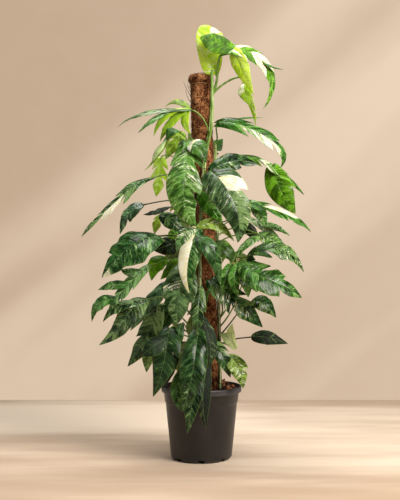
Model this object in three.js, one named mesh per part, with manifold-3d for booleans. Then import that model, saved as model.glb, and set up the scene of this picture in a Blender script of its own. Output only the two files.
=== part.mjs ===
// A climbing aroid with cream-marbled, slashed leaves, on a coir pole in a nursery pot.
// Millimetres, +Z up. The origin is the centre of the pot's flat base, and the front is -Y.
import * as THREE from "three";
import { mergeVertices } from "three/addons/utils/BufferGeometryUtils.js";
import Module from "manifold-3d";

const wasm = await Module();
wasm.setup();

// Pot
const pot = {
  height: 245,
  shoulderRadius: 127,
  footRadius: 103,
  footHeight: 9,
  baseRadius: 95,
  wall: 2,
  floor: 2.5,
  sides: 30,
};
const rim = { radius: 135, bottom: 225, thickness: 5, lip: 3, rounding: 1.5 };
const collar = { below: 121, from: 189, above: 123.5, to: 193 };
const slots = { count: 8, from: 84, width: 18, height: 7 };

// Potting mix
const soil = { radius: 122, height: 227, swell: 7, rings: [36, 70, 100], clearance: 0.3 };
const lumps = { x: 11, y: 13, diagonal: 7 };
const chips = { count: 10, size: [22, 12, 9], from: 62, spread: 42, turn: 2.4, above: 2 };

// Coir pole, which leans a little to the left
const pole = { x: 22, at: 240, lean: 0.023, radius: 35, sides: 20, bottom: 60, top: 1259 };
const core = { radius: 14, bottom: 12, top: 1247 };
const cap = { radius: 40, top: 1294, binding: 38.5, bindingHeight: 3, gap: 0.3 };

// Stems: height and bearing round the pole, in degrees from +X, of points on each one
const stem = { radius: 6, distance: 42.5, sides: 5, steps: 12 };
const stems = {
  tall: [[110, -120], [400, -118], [700, -112], [900, -95], [1020, -76], [1130, -46], [1240, -30]],
  front: [[110, -150], [400, -150], [700, -147], [1050, -143]],
  right: [[110, -20], [400, -8], [700, 0], [900, 5], [1065, 5]],
  left: [[110, 178], [500, -172], [900, -175], [1100, -172]],
  back_left: [[110, 135], [600, 130], [1000, 125]],
  back_right: [[110, 45], [600, 50], [1090, 60]],
};

// Leaves: the rib runs from the blade's base to its tip, face is the way the upper side looks at
// mid-rib, width is the whole blade's. A petiole leaves the stem at height from. A lobe that grows
// on another blade starts on that blade's rib, at the share of its length given by at.
// cuts are slashes: [place along the rib, depth on the right half, depth on the left half].
// stalk is the petiole's radius where it is thicker than usual.
const leaves = [
  // Crown
  { name: "crown_back", stem: "tall", from: 1050,
    rib: [[35, -45, 1290], [31, -50, 1350], [28, -52, 1415], [33, -35, 1447], [44, -5, 1440]],
    face: [0.1, -0.95, 0.3], width: 94, stalk: 4 },
  { name: "crown_arch", stem: "tall", from: 1230,
    rib: [[65, -85, 1350], [135, -110, 1355], [200, -100, 1320], [235, -75, 1255], [205, -55, 1170]],
    face: [0.15, -0.75, 0.65], width: 70, cuts: [[0.34, 0.35, 0.2]], stalk: 4 },
  { name: "crown_wing", on: "crown_arch", at: 0.14, rib: [[40, -105, 1382], [-5, -110, 1396]],
    face: [0, -1, 0.35], width: 72 },
  { name: "crown_hang", on: "crown_arch", at: 0.14, rib: [[125, -115, 1305], [170, -100, 1210]],
    face: [-0.6, -0.75, 0.2], width: 60 },
  { name: "crown_tip", on: "crown_arch", at: 0.5, rib: [[225, -100, 1305], [270, -85, 1295]],
    face: [0, -0.5, 0.9], width: 22 },
  { name: "crown_low", stem: "tall", from: 1225,
    rib: [[140, -60, 1270], [150, -75, 1225], [168, -75, 1170], [180, -65, 1115]], face: [-0.7, -0.7, 0],
    width: 30, stalk: 3.5 },
  { name: "crown_low_lobe", on: "crown_low", at: 0.15, rib: [[143, -85, 1222], [160, -85, 1177]],
    face: [-0.3, -0.9, 0.2], width: 48 },
  // Upper left
  { name: "left_straps", stem: "tall", from: 1060,
    rib: [[-35, -90, 1165], [-110, -110, 1160], [-200, -110, 1145], [-275, -90, 1105]],
    face: [-0.1, -0.45, 0.9], width: 45 },
  { name: "strap_dark", on: "left_straps", at: 0.28, rib: [[-155, -135, 1125], [-205, -140, 1080]],
    face: [-0.3, -0.6, 0.6], width: 28 },
  { name: "strap_lime_1", on: "left_straps", at: 0.12, rib: [[-120, -125, 1135], [-155, -130, 1070]],
    face: [-0.4, -0.8, 0.4], width: 30 },
  { name: "strap_lime_2", on: "left_straps", at: 0.06, rib: [[-100, -110, 1120], [-135, -115, 1055]],
    face: [-0.4, -0.8, 0.4], width: 38 },
  { name: "strap_lime_3", on: "left_straps", at: 0.02, rib: [[-55, -105, 1125], [-35, -110, 1080]],
    face: [-0.4, -0.9, 0], width: 30 },
  { name: "strap_back", on: "left_straps", at: 0.03, rib: [[-80, -60, 1195], [-120, -45, 1180]],
    face: [-0.2, -0.7, 0.7], width: 28 },
  { name: "left_fold", stem: "front", from: 1040,
    rib: [[-60, -110, 1080], [-100, -135, 1075], [-135, -140, 1020], [-185, -130, 960]],
    face: [-0.6, -0.6, 0.5], width: 30 },
  { name: "fold_top", on: "left_fold", at: 0.1, rib: [[-95, -150, 1089], [-114, -150, 1056]],
    face: [-0.5, -0.8, 0.3], width: 48 },
  { name: "fold_strap", on: "left_fold", at: 0.45, rib: [[-143, -145, 1018], [-160, -140, 986]],
    face: [-0.5, -0.8, 0.3], width: 24 },
  { name: "lime_left_1", stem: "left", from: 1010,
    rib: [[-60, -25, 1095], [-90, -35, 1060], [-120, -35, 1005]], face: [-0.3, -0.9, 0.2], width: 58,
    cuts: [[0.35, 0.7, 0.7]] },
  { name: "lime_left_2", stem: "back_left", from: 960,
    rib: [[-140, 60, 1020], [-145, 50, 955], [-155, 45, 885]], face: [-0.2, -0.95, 0.1], width: 62,
    cuts: [[0.2, 0.75, 0.75], [0.5, 0.75, 0.75]] },
  { name: "front_upper", stem: "front", from: 990,
    rib: [[-45, -120, 1055], [-50, -180, 950], [-55, -195, 860], [-15, -190, 775]], face: [0, -0.95, 0.25],
    width: 120, cuts: [[0.16, 0.75, 0.2], [0.5, 0.7, 0]] },
  { name: "front_upper_lobe", on: "front_upper", at: 0.05, rib: [[-11, -160, 1033], [15, -165, 981]],
    face: [0.15, -0.95, 0.25], width: 64 },
  // Upper right
  { name: "front_right", stem: "tall", from: 900,
    rib: [[25, -120, 960], [65, -175, 920], [110, -200, 835], [115, -195, 725]], face: [-0.1, -0.85, 0.5],
    width: 130, cuts: [[0.42, 0.5, 0]] },
  { name: "front_right_wing", on: "front_right", at: 0.05, rib: [[100, -130, 990], [185, -115, 980]],
    face: [0, -0.85, 0.5], width: 72, cuts: [[0.6, 0, 0.5]] },
  { name: "right_arch", stem: "right", from: 970,
    rib: [[115, -20, 1015], [200, -40, 1000], [280, -45, 950], [345, -35, 885]], face: [0.2, -0.45, 0.85],
    width: 70, cuts: [[0.25, 0.2, 0.7], [0.62, 0.5, 0.6]] },
  { name: "arch_hang", on: "right_arch", at: 0.47, rib: [[261, -78, 900], [311, -74, 822]],
    face: [-0.1, -0.95, -0.2], width: 88 },
  { name: "right_upper", stem: "right", from: 1060,
    rib: [[50, -40, 1125], [120, -60, 1120], [200, -60, 1085], [265, -50, 1035], [262, -40, 975]],
    face: [0.1, -0.8, 0.55], width: 66, cuts: [[0.26, 0.6, 0.75], [0.6, 0.5, 0.75]] },
  { name: "upper_far", on: "right_upper", at: 0.03, rib: [[130, -15, 1145], [210, 5, 1150]],
    face: [0, -0.35, 0.9], width: 28 },
  { name: "behind_pole", stem: "back_right", from: 1020,
    rib: [[15, 70, 1050], [45, 85, 1060], [75, 95, 1090]], face: [0.1, -0.9, 0.3], width: 60,
    cuts: [[0.35, 0.6, 0.6]] },
  { name: "right_mid", stem: "right", from: 850,
    rib: [[145, -80, 865], [215, -110, 840], [295, -110, 810], [360, -95, 760]], face: [0.1, -0.6, 0.8],
    width: 62, cuts: [[0.24, 0.85, 0.8], [0.55, 0, 0.4]] },
  { name: "mid_hang", on: "right_mid", at: 0.06, rib: [[190, -110, 825], [210, -110, 775]],
    face: [-0.3, -0.9, 0.2], width: 45 },
  { name: "right_low_dark", stem: "back_right", from: 740,
    rib: [[153, -20, 813], [222, -45, 769], [282, -45, 712]], face: [0.1, -0.5, 0.85], width: 50 },
  { name: "low_side_green", on: "right_low_dark", at: 0.3, rib: [[249, -40, 779], [296, -35, 749]],
    face: [0.1, -0.6, 0.8], width: 36 },
  { name: "low_side_marbled", stem: "right", from: 745,
    rib: [[190, -78, 755], [236, -84, 732], [279, -80, 699]], face: [0.1, -0.75, 0.6], width: 62 },
  { name: "mid_behind", stem: "tall", from: 840, rib: [[-5, -70, 890], [30, -85, 845], [70, -80, 790]],
    face: [0, -0.95, 0.3], width: 60 },
  // Lower right
  { name: "right_stripe", stem: "right", from: 720,
    rib: [[200, -95, 750], [150, -140, 725], [95, -145, 660]], face: [-0.3, -0.7, 0.6], width: 34 },
  { name: "right_arch_low", stem: "right", from: 660,
    rib: [[150, -130, 680], [205, -165, 705], [275, -170, 695], [330, -150, 630]], face: [0.2, -0.7, 0.7],
    width: 84, cuts: [[0.1, 0.5, 0.6], [0.32, 0.85, 0.85]] },
  { name: "right_broad", stem: "right", from: 580,
    rib: [[143, -150, 663], [183, -190, 623], [246, -195, 594], [321, -175, 549]], face: [0.1, -0.8, 0.55],
    width: 116, cuts: [[0.3, 0.75, 0.1], [0.66, 0.45, 0.55]] },
  { name: "right_hang", stem: "right", from: 440,
    rib: [[125, -140, 660], [105, -165, 610], [120, -160, 550]], face: [-0.1, -0.95, 0.3], width: 42 },
  { name: "right_hang_2", stem: "right", from: 470,
    rib: [[95, -120, 655], [80, -145, 615], [65, -140, 565]], face: [0.1, -0.95, 0.3], width: 42 },
  { name: "mid_dark_1", stem: "right", from: 470, rib: [[30, -80, 605], [110, -125, 540], [200, -115, 450]],
    face: [0.1, -0.85, 0.5], width: 100, cuts: [[0.22, 0.4, 0.3], [0.45, 0.7, 0.6]] },
  { name: "mid_dark_2", stem: "back_right", from: 440, rib: [[85, 20, 635], [130, 10, 605], [180, 15, 580]],
    face: [0.1, -0.8, 0.6], width: 42 },
  { name: "right_round", stem: "right", from: 410, rib: [[168, -60, 532], [208, -80, 525], [248, -70, 478]],
    face: [0.2, -0.8, 0.55], width: 65 },
  { name: "right_near_pole", stem: "right", from: 660,
    rib: [[30, -75, 715], [75, -95, 705], [115, -90, 660]], face: [0.1, -0.85, 0.5], width: 65 },
  { name: "right_hang_dark", stem: "back_right", from: 770,
    rib: [[150, 20, 795], [170, 10, 765], [195, 15, 730]], face: [0.1, -0.9, 0.4], width: 42 },
  // Middle
  { name: "front_white", stem: "front", from: 740,
    rib: [[-15, -150, 775], [-30, -200, 720], [-45, -215, 645], [-35, -205, 560]],
    face: [-0.1, -0.95, 0.25], width: 72 },
  { name: "white_left", on: "front_white", at: 0.03, rib: [[-55, -190, 750], [-80, -195, 695]],
    face: [-0.3, -0.85, 0.4], width: 50 },
  { name: "white_upper", on: "front_white", at: 0.02, rib: [[45, -165, 785], [105, -160, 730]],
    face: [0.2, -0.8, 0.6], width: 48 },
  { name: "white_right", on: "front_white", at: 0.22, rib: [[30, -210, 700], [60, -195, 590]],
    face: [0.3, -0.9, 0.3], width: 60 },
  { name: "front_grey", stem: "front", from: 610,
    rib: [[-50, -140, 655], [-70, -185, 570], [-80, -185, 460]], face: [-0.1, -0.95, 0.25], width: 112,
    cuts: [[0.55, 0.3, 0.75]] },
  { name: "front_grey_2", stem: "tall", from: 530,
    rib: [[-5, -100, 580], [-10, -135, 505], [-15, -135, 425]], face: [0, -0.95, 0.25], width: 50,
    cuts: [[0.4, 0.5, 0]] },
  { name: "pale_wisp", stem: "tall", from: 520, rib: [[20, -75, 565], [5, -90, 525], [-5, -85, 480]],
    face: [-0.3, -0.95, 0.1], width: 25 },
  { name: "front_low", stem: "tall", from: 400,
    rib: [[-10, -120, 440], [-20, -180, 365], [-35, -200, 280], [-60, -195, 190]],
    face: [0.05, -0.95, 0.25], width: 88, cuts: [[0.55, 0.5, 0.2]] },
  { name: "front_low_right", stem: "tall", from: 420,
    rib: [[0, -90, 480], [25, -115, 420], [30, -125, 365], [20, -125, 315]], face: [0.2, -0.95, 0.2],
    width: 50 },
  { name: "front_low_2", stem: "front", from: 330,
    rib: [[0, -120, 335], [-25, -170, 235], [-45, -175, 115]], face: [0, -0.95, 0.25], width: 58 },
  { name: "pot_front", stem: "tall", from: 310, rib: [[20, -95, 350], [5, -150, 240], [15, -160, 130]],
    face: [0.1, -0.95, 0.2], width: 55, cuts: [[0.45, 0, 0.6]] },
  { name: "pot_left", stem: "front", from: 300, rib: [[-60, -110, 315], [-80, -155, 250], [-60, -160, 180]],
    face: [-0.1, -0.95, 0.2], width: 42 },
  // Left
  { name: "left_long", stem: "left", from: 930,
    rib: [[-170, -60, 940], [-225, -90, 910], [-275, -100, 865], [-340, -100, 805], [-395, -80, 745]],
    face: [-0.3, -0.55, 0.75], width: 68, cuts: [[0.36, 0.7, 0.7], [0.68, 0.7, 0.7]] },
  { name: "left_broad", stem: "left", from: 720,
    rib: [[-145, -90, 748], [-205, -140, 730], [-265, -150, 681], [-322, -140, 613]],
    face: [-0.25, -0.7, 0.65], width: 152, cuts: [[0.68, 0, 0.45]] },
  { name: "left_blue", stem: "back_left", from: 840,
    rib: [[-200, 0, 855], [-245, -15, 825], [-275, -10, 755]], face: [-0.5, -0.8, 0.3], width: 58,
    cuts: [[0.6, 0.5, 0]] },
  { name: "left_dark_flat", stem: "back_left", from: 820,
    rib: [[-110, -30, 845], [-155, -40, 830], [-195, -35, 820]], face: [-0.2, -0.5, 0.85], width: 38 },
  { name: "left_mid_dark", stem: "left", from: 790,
    rib: [[-135, -70, 820], [-95, -85, 795], [-55, -80, 760]], face: [0, -0.9, 0.4], width: 58 },
  { name: "left_round", stem: "left", from: 700,
    rib: [[-80, -80, 725], [-115, -105, 715], [-155, -100, 700]], face: [-0.1, -0.9, 0.4], width: 72 },
  { name: "left_mid_green", stem: "left", from: 640,
    rib: [[-115, -60, 670], [-150, -75, 655], [-165, -70, 600]], face: [-0.2, -0.9, 0.4], width: 62 },
  { name: "left_mid_green_2", stem: "left", from: 620,
    rib: [[-65, -80, 670], [-95, -95, 645], [-135, -90, 605]], face: [-0.1, -0.8, 0.6], width: 52 },
  { name: "left_pinnate", stem: "left", from: 590,
    rib: [[-175, -100, 650], [-224, -140, 602], [-269, -150, 551], [-302, -140, 502]],
    face: [-0.3, -0.75, 0.6], width: 54, cuts: [[0.3, 0.3, 0.3], [0.6, 0.4, 0.4]] },
  { name: "pinnate_lobe_1", on: "left_pinnate", at: 0.12, rib: [[-232, -130, 631], [-262, -120, 640]],
    face: [-0.3, -0.75, 0.6], width: 36 },
  { name: "pinnate_lobe_2", on: "left_pinnate", at: 0.42, rib: [[-289, -140, 589], [-336, -125, 572]],
    face: [-0.3, -0.75, 0.6], width: 38 },
  { name: "pinnate_lobe_3", on: "left_pinnate", at: 0.72, rib: [[-334, -140, 527], [-356, -125, 468]],
    face: [-0.3, -0.75, 0.6], width: 50 },
  { name: "left_blue_low", stem: "back_left", from: 570,
    rib: [[-120, 0, 590], [-170, -20, 525], [-240, -15, 430]], face: [-0.5, -0.8, 0.2], width: 62 },
  { name: "left_notched", stem: "left", from: 520,
    rib: [[-176, -90, 541], [-218, -140, 518], [-260, -145, 460], [-333, -125, 393]],
    face: [-0.25, -0.75, 0.6], width: 88, cuts: [[0.3, 0.25, 0]] },
  { name: "notched_lobe", on: "left_notched", at: 0.24, rib: [[-273, -145, 518], [-319, -135, 469]],
    face: [-0.25, -0.75, 0.6], width: 44 },
  { name: "left_dark_in", stem: "left", from: 470,
    rib: [[-95, -35, 545], [-110, -45, 490], [-130, -45, 430]], face: [-0.2, -0.95, 0.2], width: 65 },
  { name: "left_low_dark", stem: "left", from: 430,
    rib: [[-145, -50, 515], [-180, -65, 420], [-245, -60, 315]], face: [-0.35, -0.85, 0.4], width: 85,
    cuts: [[0.5, 0, 0.5]] },
  { name: "left_low_big", stem: "front", from: 400,
    rib: [[-103, -100, 447], [-111, -148, 396], [-123, -165, 330], [-156, -155, 229]],
    face: [-0.1, -0.95, 0.3], width: 96, cuts: [[0.4, 0.55, 0]] },
  { name: "low_big_lobe", on: "left_low_big", at: 0.18, rib: [[-155, -165, 391], [-194, -160, 362]],
    face: [-0.1, -0.95, 0.3], width: 62 },
  { name: "low_inner", stem: "front", from: 380, rib: [[-65, -95, 460], [-75, -115, 420], [-80, -110, 370]],
    face: [-0.1, -0.95, 0.2], width: 35 },
  { name: "left_low_small", stem: "back_left", from: 380,
    rib: [[-175, -10, 380], [-180, -20, 340], [-185, -15, 290]], face: [-0.1, -0.95, 0.2], width: 42 },
  { name: "pot_dark", stem: "left", from: 340, rib: [[-75, -70, 365], [-105, -90, 305], [-130, -75, 238]],
    face: [-0.5, -0.8, 0.3], width: 38 },
  { name: "lime_bit", stem: "back_left", from: 770,
    rib: [[-135, 20, 820], [-150, 10, 795], [-160, 10, 755]], face: [-0.3, -0.9, 0.2], width: 38,
    cuts: [[0.3, 0.7, 0.7]] },
  { name: "lime_bit_2", stem: "back_left", from: 720, rib: [[-70, 10, 775], [-95, 0, 755], [-120, 5, 735]],
    face: [-0.1, -0.9, 0.4], width: 42 },
  // Low right
  { name: "low_pale", stem: "back_right", from: 380, rib: [[115, -20, 370], [90, -35, 405], [60, -30, 420]],
    face: [0.2, -0.95, 0.1], width: 38 },
  { name: "pale_up", on: "low_pale", at: 0.1, rib: [[98, -35, 420], [105, -30, 455]],
    face: [0.2, -0.95, 0.1], width: 30 },
  { name: "low_lance", stem: "back_right", from: 360,
    rib: [[170, -20, 410], [220, -40, 410], [290, -30, 388]], face: [0, -0.9, 0.4], width: 52 },
  { name: "low_dark", stem: "right", from: 360, rib: [[45, -80, 400], [70, -115, 355], [95, -110, 285]],
    face: [0.3, -0.9, 0.2], width: 55, cuts: [[0.3, 0.7, 0]] },
  { name: "low_light", stem: "right", from: 310, rib: [[90, -80, 355], [120, -125, 320], [135, -140, 255]],
    face: [0.2, -0.9, 0.35], width: 66, cuts: [[0.5, 0.5, 0]] },
  // Back
  { name: "back_1", stem: "back_left", from: 340,
    rib: [[-55, 95, 380], [-65, 165, 365], [-70, 220, 310], [-75, 245, 230]], face: [-0.1, 0.75, 0.6],
    width: 95, cuts: [[0.35, 0.6, 0.4]] },
  { name: "back_2", stem: "back_right", from: 430,
    rib: [[30, 115, 500], [0, 190, 475], [-15, 240, 405], [-15, 260, 320]], face: [0.1, 0.75, 0.6],
    width: 95, cuts: [[0.3, 0.5, 0.7]] },
  { name: "back_3", stem: "back_left", from: 520,
    rib: [[-40, 110, 590], [-70, 185, 570], [-90, 245, 500], [-95, 265, 410]], face: [-0.1, 0.75, 0.6],
    width: 105, cuts: [[0.25, 0.7, 0.7], [0.55, 0.6, 0.3]] },
  { name: "back_4", stem: "back_right", from: 610,
    rib: [[95, 95, 690], [135, 160, 675], [160, 210, 610], [170, 225, 530]], face: [0.3, 0.7, 0.6],
    width: 92, cuts: [[0.4, 0.6, 0.6]] },
  { name: "back_5", stem: "back_left", from: 640,
    rib: [[-70, 85, 705], [-92, 140, 690], [-102, 180, 625], [-104, 195, 545]], face: [-0.4, 0.7, 0.5],
    width: 84, cuts: [[0.4, 0.6, 0.6]] },
  { name: "back_6", stem: "back_right", from: 720,
    rib: [[25, 115, 800], [25, 190, 785], [20, 240, 715], [15, 260, 620]], face: [0, 0.75, 0.6], width: 105,
    cuts: [[0.3, 0.7, 0.7], [0.6, 0.3, 0.6]] },
  { name: "back_7", stem: "back_left", from: 800,
    rib: [[-50, 100, 880], [-65, 165, 865], [-75, 205, 795], [-80, 220, 710]], face: [-0.2, 0.75, 0.6],
    width: 90, cuts: [[0.35, 0.6, 0.6]] },
  { name: "back_8", stem: "back_right", from: 850,
    rib: [[85, 90, 920], [110, 145, 905], [125, 180, 840], [130, 195, 760]], face: [0.3, 0.7, 0.6],
    width: 80, cuts: [[0.3, 0.6, 0.6]] },
  { name: "back_9", stem: "back_left", from: 900,
    rib: [[-15, 105, 930], [-30, 160, 920], [-40, 190, 860], [-40, 200, 790]], face: [0, 0.75, 0.6],
    width: 76, cuts: [[0.4, 0.6, 0.4]] },
  { name: "back_10", stem: "back_right", from: 960,
    rib: [[20, 95, 1050], [8, 145, 1035], [3, 175, 975], [3, 180, 905]], face: [0.2, 0.75, 0.6], width: 72,
    cuts: [[0.4, 0.6, 0.6]] },
];

// Shape that all blades share
const blade = {
  thickness: 0.8,
  outline: { start: 0.07, taper: 0.6, fullness: 0.85 },
  narrow: 46,
  fold: 10,
  curl: 0.28,
  sweep: 0.25,
  sweepCurve: 1.3,
  heel: 0.04,
  heelShare: 0.12,
  waves: 2,
  waveHeight: 0.05,
  wavePhase: 0.37,
  stations: 32,
};
const slash = { shoulder: 0.02, rounding: 0.15, roundness: 0.75 };
const petiole = { radius: 1.8, growth: 0.008, sides: 3, steps: 4, seat: 0.06, bend: 0.3 };

const colours = {
  pot: { color: 0x2f2b29, roughness: 0.55 },
  soil: { color: 0x3d2418, roughness: 0.95 },
  coir: { color: 0x6b3d24, roughness: 0.95 },
  core: { color: 0x9a7b52, roughness: 0.8 },
  binding: { color: 0x2e1c12, roughness: 0.8 },
  leaf: { color: 0x2f5c27, roughness: 0.4 },
};

const up = new THREE.Vector3(0, 0, 1);
const part = new THREE.Group();

function vector(point) {
  return new THREE.Vector3(...point);
}

// Seeded random numbers from 0 to 1
function randomFrom(seed) {
  let state = seed;
  return () => {
    state = (state * 1664525 + 1013904223) % 4294967296;
    return state / 4294967296;
  };
}

// A closed geometry as a solid that can be joined and cut
function solid(geometry) {
  const bare = geometry.clone();
  bare.deleteAttribute("normal");
  bare.deleteAttribute("uv");
  const merged = mergeVertices(bare, 1e-4);
  const vertProperties = Float32Array.from(merged.attributes.position.array);
  const triVerts = Uint32Array.from(merged.index.array);
  return new wasm.Manifold(new wasm.Mesh({ numProp: 3, vertProperties, triVerts }));
}

function addPiece(name, body, colour) {
  const mesh = body.getMesh();
  const geometry = new THREE.BufferGeometry();
  geometry.setAttribute("position", new THREE.BufferAttribute(mesh.vertProperties, 3));
  geometry.setIndex(new THREE.BufferAttribute(mesh.triVerts, 1));
  geometry.computeVertexNormals();
  const material = new THREE.MeshStandardMaterial({ ...colours[colour], metalness: 0 });
  const piece = new THREE.Mesh(geometry, material);
  piece.name = name;
  part.add(piece);
}

// A turned solid round Z from [radius, height] points that start and end on the axis
function turned(profile, sides) {
  const points = profile.map(([radius, height]) => new THREE.Vector2(radius, height));
  const geometry = new THREE.LatheGeometry(points, sides);
  geometry.rotateX(Math.PI / 2);
  return geometry;
}

// Pot

function makePot() {
  const wall = [
    [pot.footRadius, pot.footHeight],
    [collar.below, collar.from],
    [collar.above, collar.to],
    [pot.shoulderRadius, rim.bottom],
  ];
  const rimInside = rim.radius - rim.thickness;
  const profile = [
    [0, 0],
    [pot.baseRadius, 0],
    ...wall,
    [rim.radius, rim.bottom + rim.rounding],
    [rim.radius, pot.height - rim.lip],
    [rim.radius - rim.rounding, pot.height],
    [rimInside + rim.rounding, pot.height],
    [rimInside, pot.height - rim.lip],
    [pot.shoulderRadius, rim.bottom + rim.lip],
    ...wall.reverse().map(([radius, height]) => [radius - pot.wall, height]),
    [pot.baseRadius - pot.wall, pot.floor],
    [0, pot.floor],
  ];
  let body = solid(turned(profile, pot.sides));
  for (let i = 0; i < slots.count; i += 1) {
    const length = rim.radius - slots.from;
    const slot = new THREE.BoxGeometry(length, slots.width, slots.height * 2);
    slot.translate(slots.from + length / 2, 0, 0);
    slot.rotateZ((i * 2 * Math.PI) / slots.count);
    body = body.subtract(solid(slot));
  }
  addPiece("pot", body, "pot");
}

// Pole

function poleX(height) {
  return pole.x - pole.lean * (height - pole.at);
}

// A straight piece on the pole's leaning axis
function onPole(radius, bottom, top, sides = pole.sides) {
  const geometry = new THREE.CylinderGeometry(radius, radius, top - bottom, sides);
  geometry.rotateX(Math.PI / 2);
  geometry.translate(0, 0, (top + bottom) / 2);
  const lean = new THREE.Matrix4().makeShear(0, 0, 0, 0, -pole.lean, 0);
  geometry.applyMatrix4(lean);
  geometry.translate(poleX(0), 0, 0);
  return solid(geometry);
}

function makePole() {
  const coirBore = onPole(core.radius + cap.gap, pole.bottom - 1, pole.top + 1);
  addPiece("pole_core", onPole(core.radius, core.bottom, core.top), "core");
  addPiece("pole_coir", onPole(pole.radius, pole.bottom, pole.top).subtract(coirBore), "coir");
  const bindingTop = pole.top + cap.gap + cap.bindingHeight;
  addPiece("pole_binding", onPole(cap.binding, pole.top + cap.gap, bindingTop), "binding");
  addPiece("pole_cap", onPole(cap.radius, bindingTop + cap.gap, cap.top), "coir");
}

// Stems

function stemCurve(name) {
  const points = stems[name].map(([height, bearing]) => {
    const angle = (bearing * Math.PI) / 180;
    const x = poleX(height) + stem.distance * Math.cos(angle);
    return new THREE.Vector3(x, stem.distance * Math.sin(angle), height);
  });
  return new THREE.CatmullRomCurve3(points);
}

// The point of a stem's curve at a height
function stemPoint(name, height) {
  const curve = stemCurve(name);
  let low = 0;
  let high = 1;
  for (let i = 0; i < 30; i += 1) {
    const middle = (low + high) / 2;
    if (curve.getPoint(middle).z < height) low = middle;
    else high = middle;
  }
  return curve.getPoint(low);
}

// A bar with a regular section along a curve
function bar(curve, radius, sides, steps) {
  const corners = Array.from({ length: sides }, (_, i) => {
    const angle = (i * 2 * Math.PI) / sides;
    return new THREE.Vector2(radius * Math.cos(angle), radius * Math.sin(angle));
  });
  const options = { steps, bevelEnabled: false, extrudePath: curve };
  return solid(new THREE.ExtrudeGeometry(new THREE.Shape(corners), options));
}

// Soil

function makeSoil() {
  const random = randomFrom(7);
  const edge = (radius) => radius - pot.wall - soil.clearance;
  const bottom = pot.floor + soil.clearance;
  const profile = [
    [0, bottom],
    [edge(pot.baseRadius), bottom],
    [edge(pot.footRadius), pot.footHeight],
    [edge(collar.below), collar.from],
    [soil.radius, soil.height],
    ...soil.rings.toReversed().map((radius) => [radius, soil.height]),
    [0, soil.height],
  ];
  const geometry = turned(profile, pot.sides);
  const position = geometry.attributes.position;
  const heaped = (soil.rings.at(-1) + soil.radius) / 2;
  for (let i = 0; i < position.count; i += 1) {
    const x = position.getX(i);
    const y = position.getY(i);
    const inside = Math.hypot(x, y) < heaped && position.getZ(i) > soil.height - 1;
    const lump = Math.sin(x / lumps.x + 1) * Math.cos(y / lumps.y) + Math.sin((x + y) / lumps.diagonal) / 2;
    if (inside) position.setZ(i, soil.height + (soil.swell * (1 + lump)) / 3);
  }
  let body = solid(geometry);
  for (let i = 0; i < chips.count; i += 1) {
    const chip = new THREE.BoxGeometry(...chips.size);
    chip.rotateX(random() - 0.5);
    chip.rotateY(random() - 0.5);
    chip.rotateZ(random() * Math.PI);
    const bearing = (i + random() / 2) * chips.turn;
    const radius = chips.from + chips.spread * random();
    chip.translate(radius * Math.cos(bearing), radius * Math.sin(bearing), soil.height + chips.above);
    body = body.add(solid(chip));
  }
  const above = pot.height * 1.2;
  const sideGap = soil.clearance * 1.4;
  body = body.subtract(onPole(pole.radius + sideGap, pole.bottom - soil.clearance, above));
  body = body.subtract(onPole(core.radius + sideGap, core.bottom, pole.bottom + 1));
  for (const name of Object.keys(stems)) {
    body = body.subtract(bar(stemCurve(name), stem.radius + sideGap, stem.sides, stem.steps));
  }
  addPiece("soil", body, "soil");
}

// Leaves

// The point at u of the smooth curve that passes through evenly spaced points
function through(points, u) {
  const last = points.length - 1;
  const result = new THREE.Vector3();
  points.forEach((point, i) => {
    let weight = 1;
    points.forEach((other, j) => {
      if (j !== i) weight *= (u * last - j) / (i - j);
    });
    result.addScaledVector(point, weight);
  });
  return result;
}

function ribPoints(leaf) {
  const points = leaf.rib.map(vector);
  if (leaf.on) {
    const parent = leaves.find((other) => other.name === leaf.on);
    points.unshift(through(ribPoints(parent), leaf.at));
  }
  return points;
}

function ribTangent(points, u) {
  const step = 0.01;
  return through(points, u + step).sub(through(points, u - step)).normalize();
}

// The upper side's direction at stations along the rib, carried outward from the middle
function ribNormals(leaf, points) {
  const normals = [];
  const middle = blade.stations / 2;
  const carry = (normal, station) => {
    const tangent = ribTangent(points, station / blade.stations);
    return normal.clone().addScaledVector(tangent, -normal.dot(tangent)).normalize();
  };
  normals[middle] = carry(vector(leaf.face), middle);
  for (let i = middle + 1; i <= blade.stations; i += 1) normals[i] = carry(normals[i - 1], i);
  for (let i = middle - 1; i >= 0; i -= 1) normals[i] = carry(normals[i + 1], i);
  return normals;
}

// How far the blade reaches from rib to margin, from 0 to 1, where slashes cut into it
function reach(leaf, a, side) {
  let result = 1;
  for (const [place, right, left] of leaf.cuts ?? []) {
    const depth = side > 0 ? right : left;
    const before = (place - a) / slash.shoulder;
    const after = (a - place) / slash.rounding;
    let share = 1;
    if (before >= 0 && before < 1) share = before;
    if (after > 0 && after < 1) share = after ** slash.roundness;
    result = Math.min(result, 1 - depth * (1 - share));
  }
  return result;
}

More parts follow.
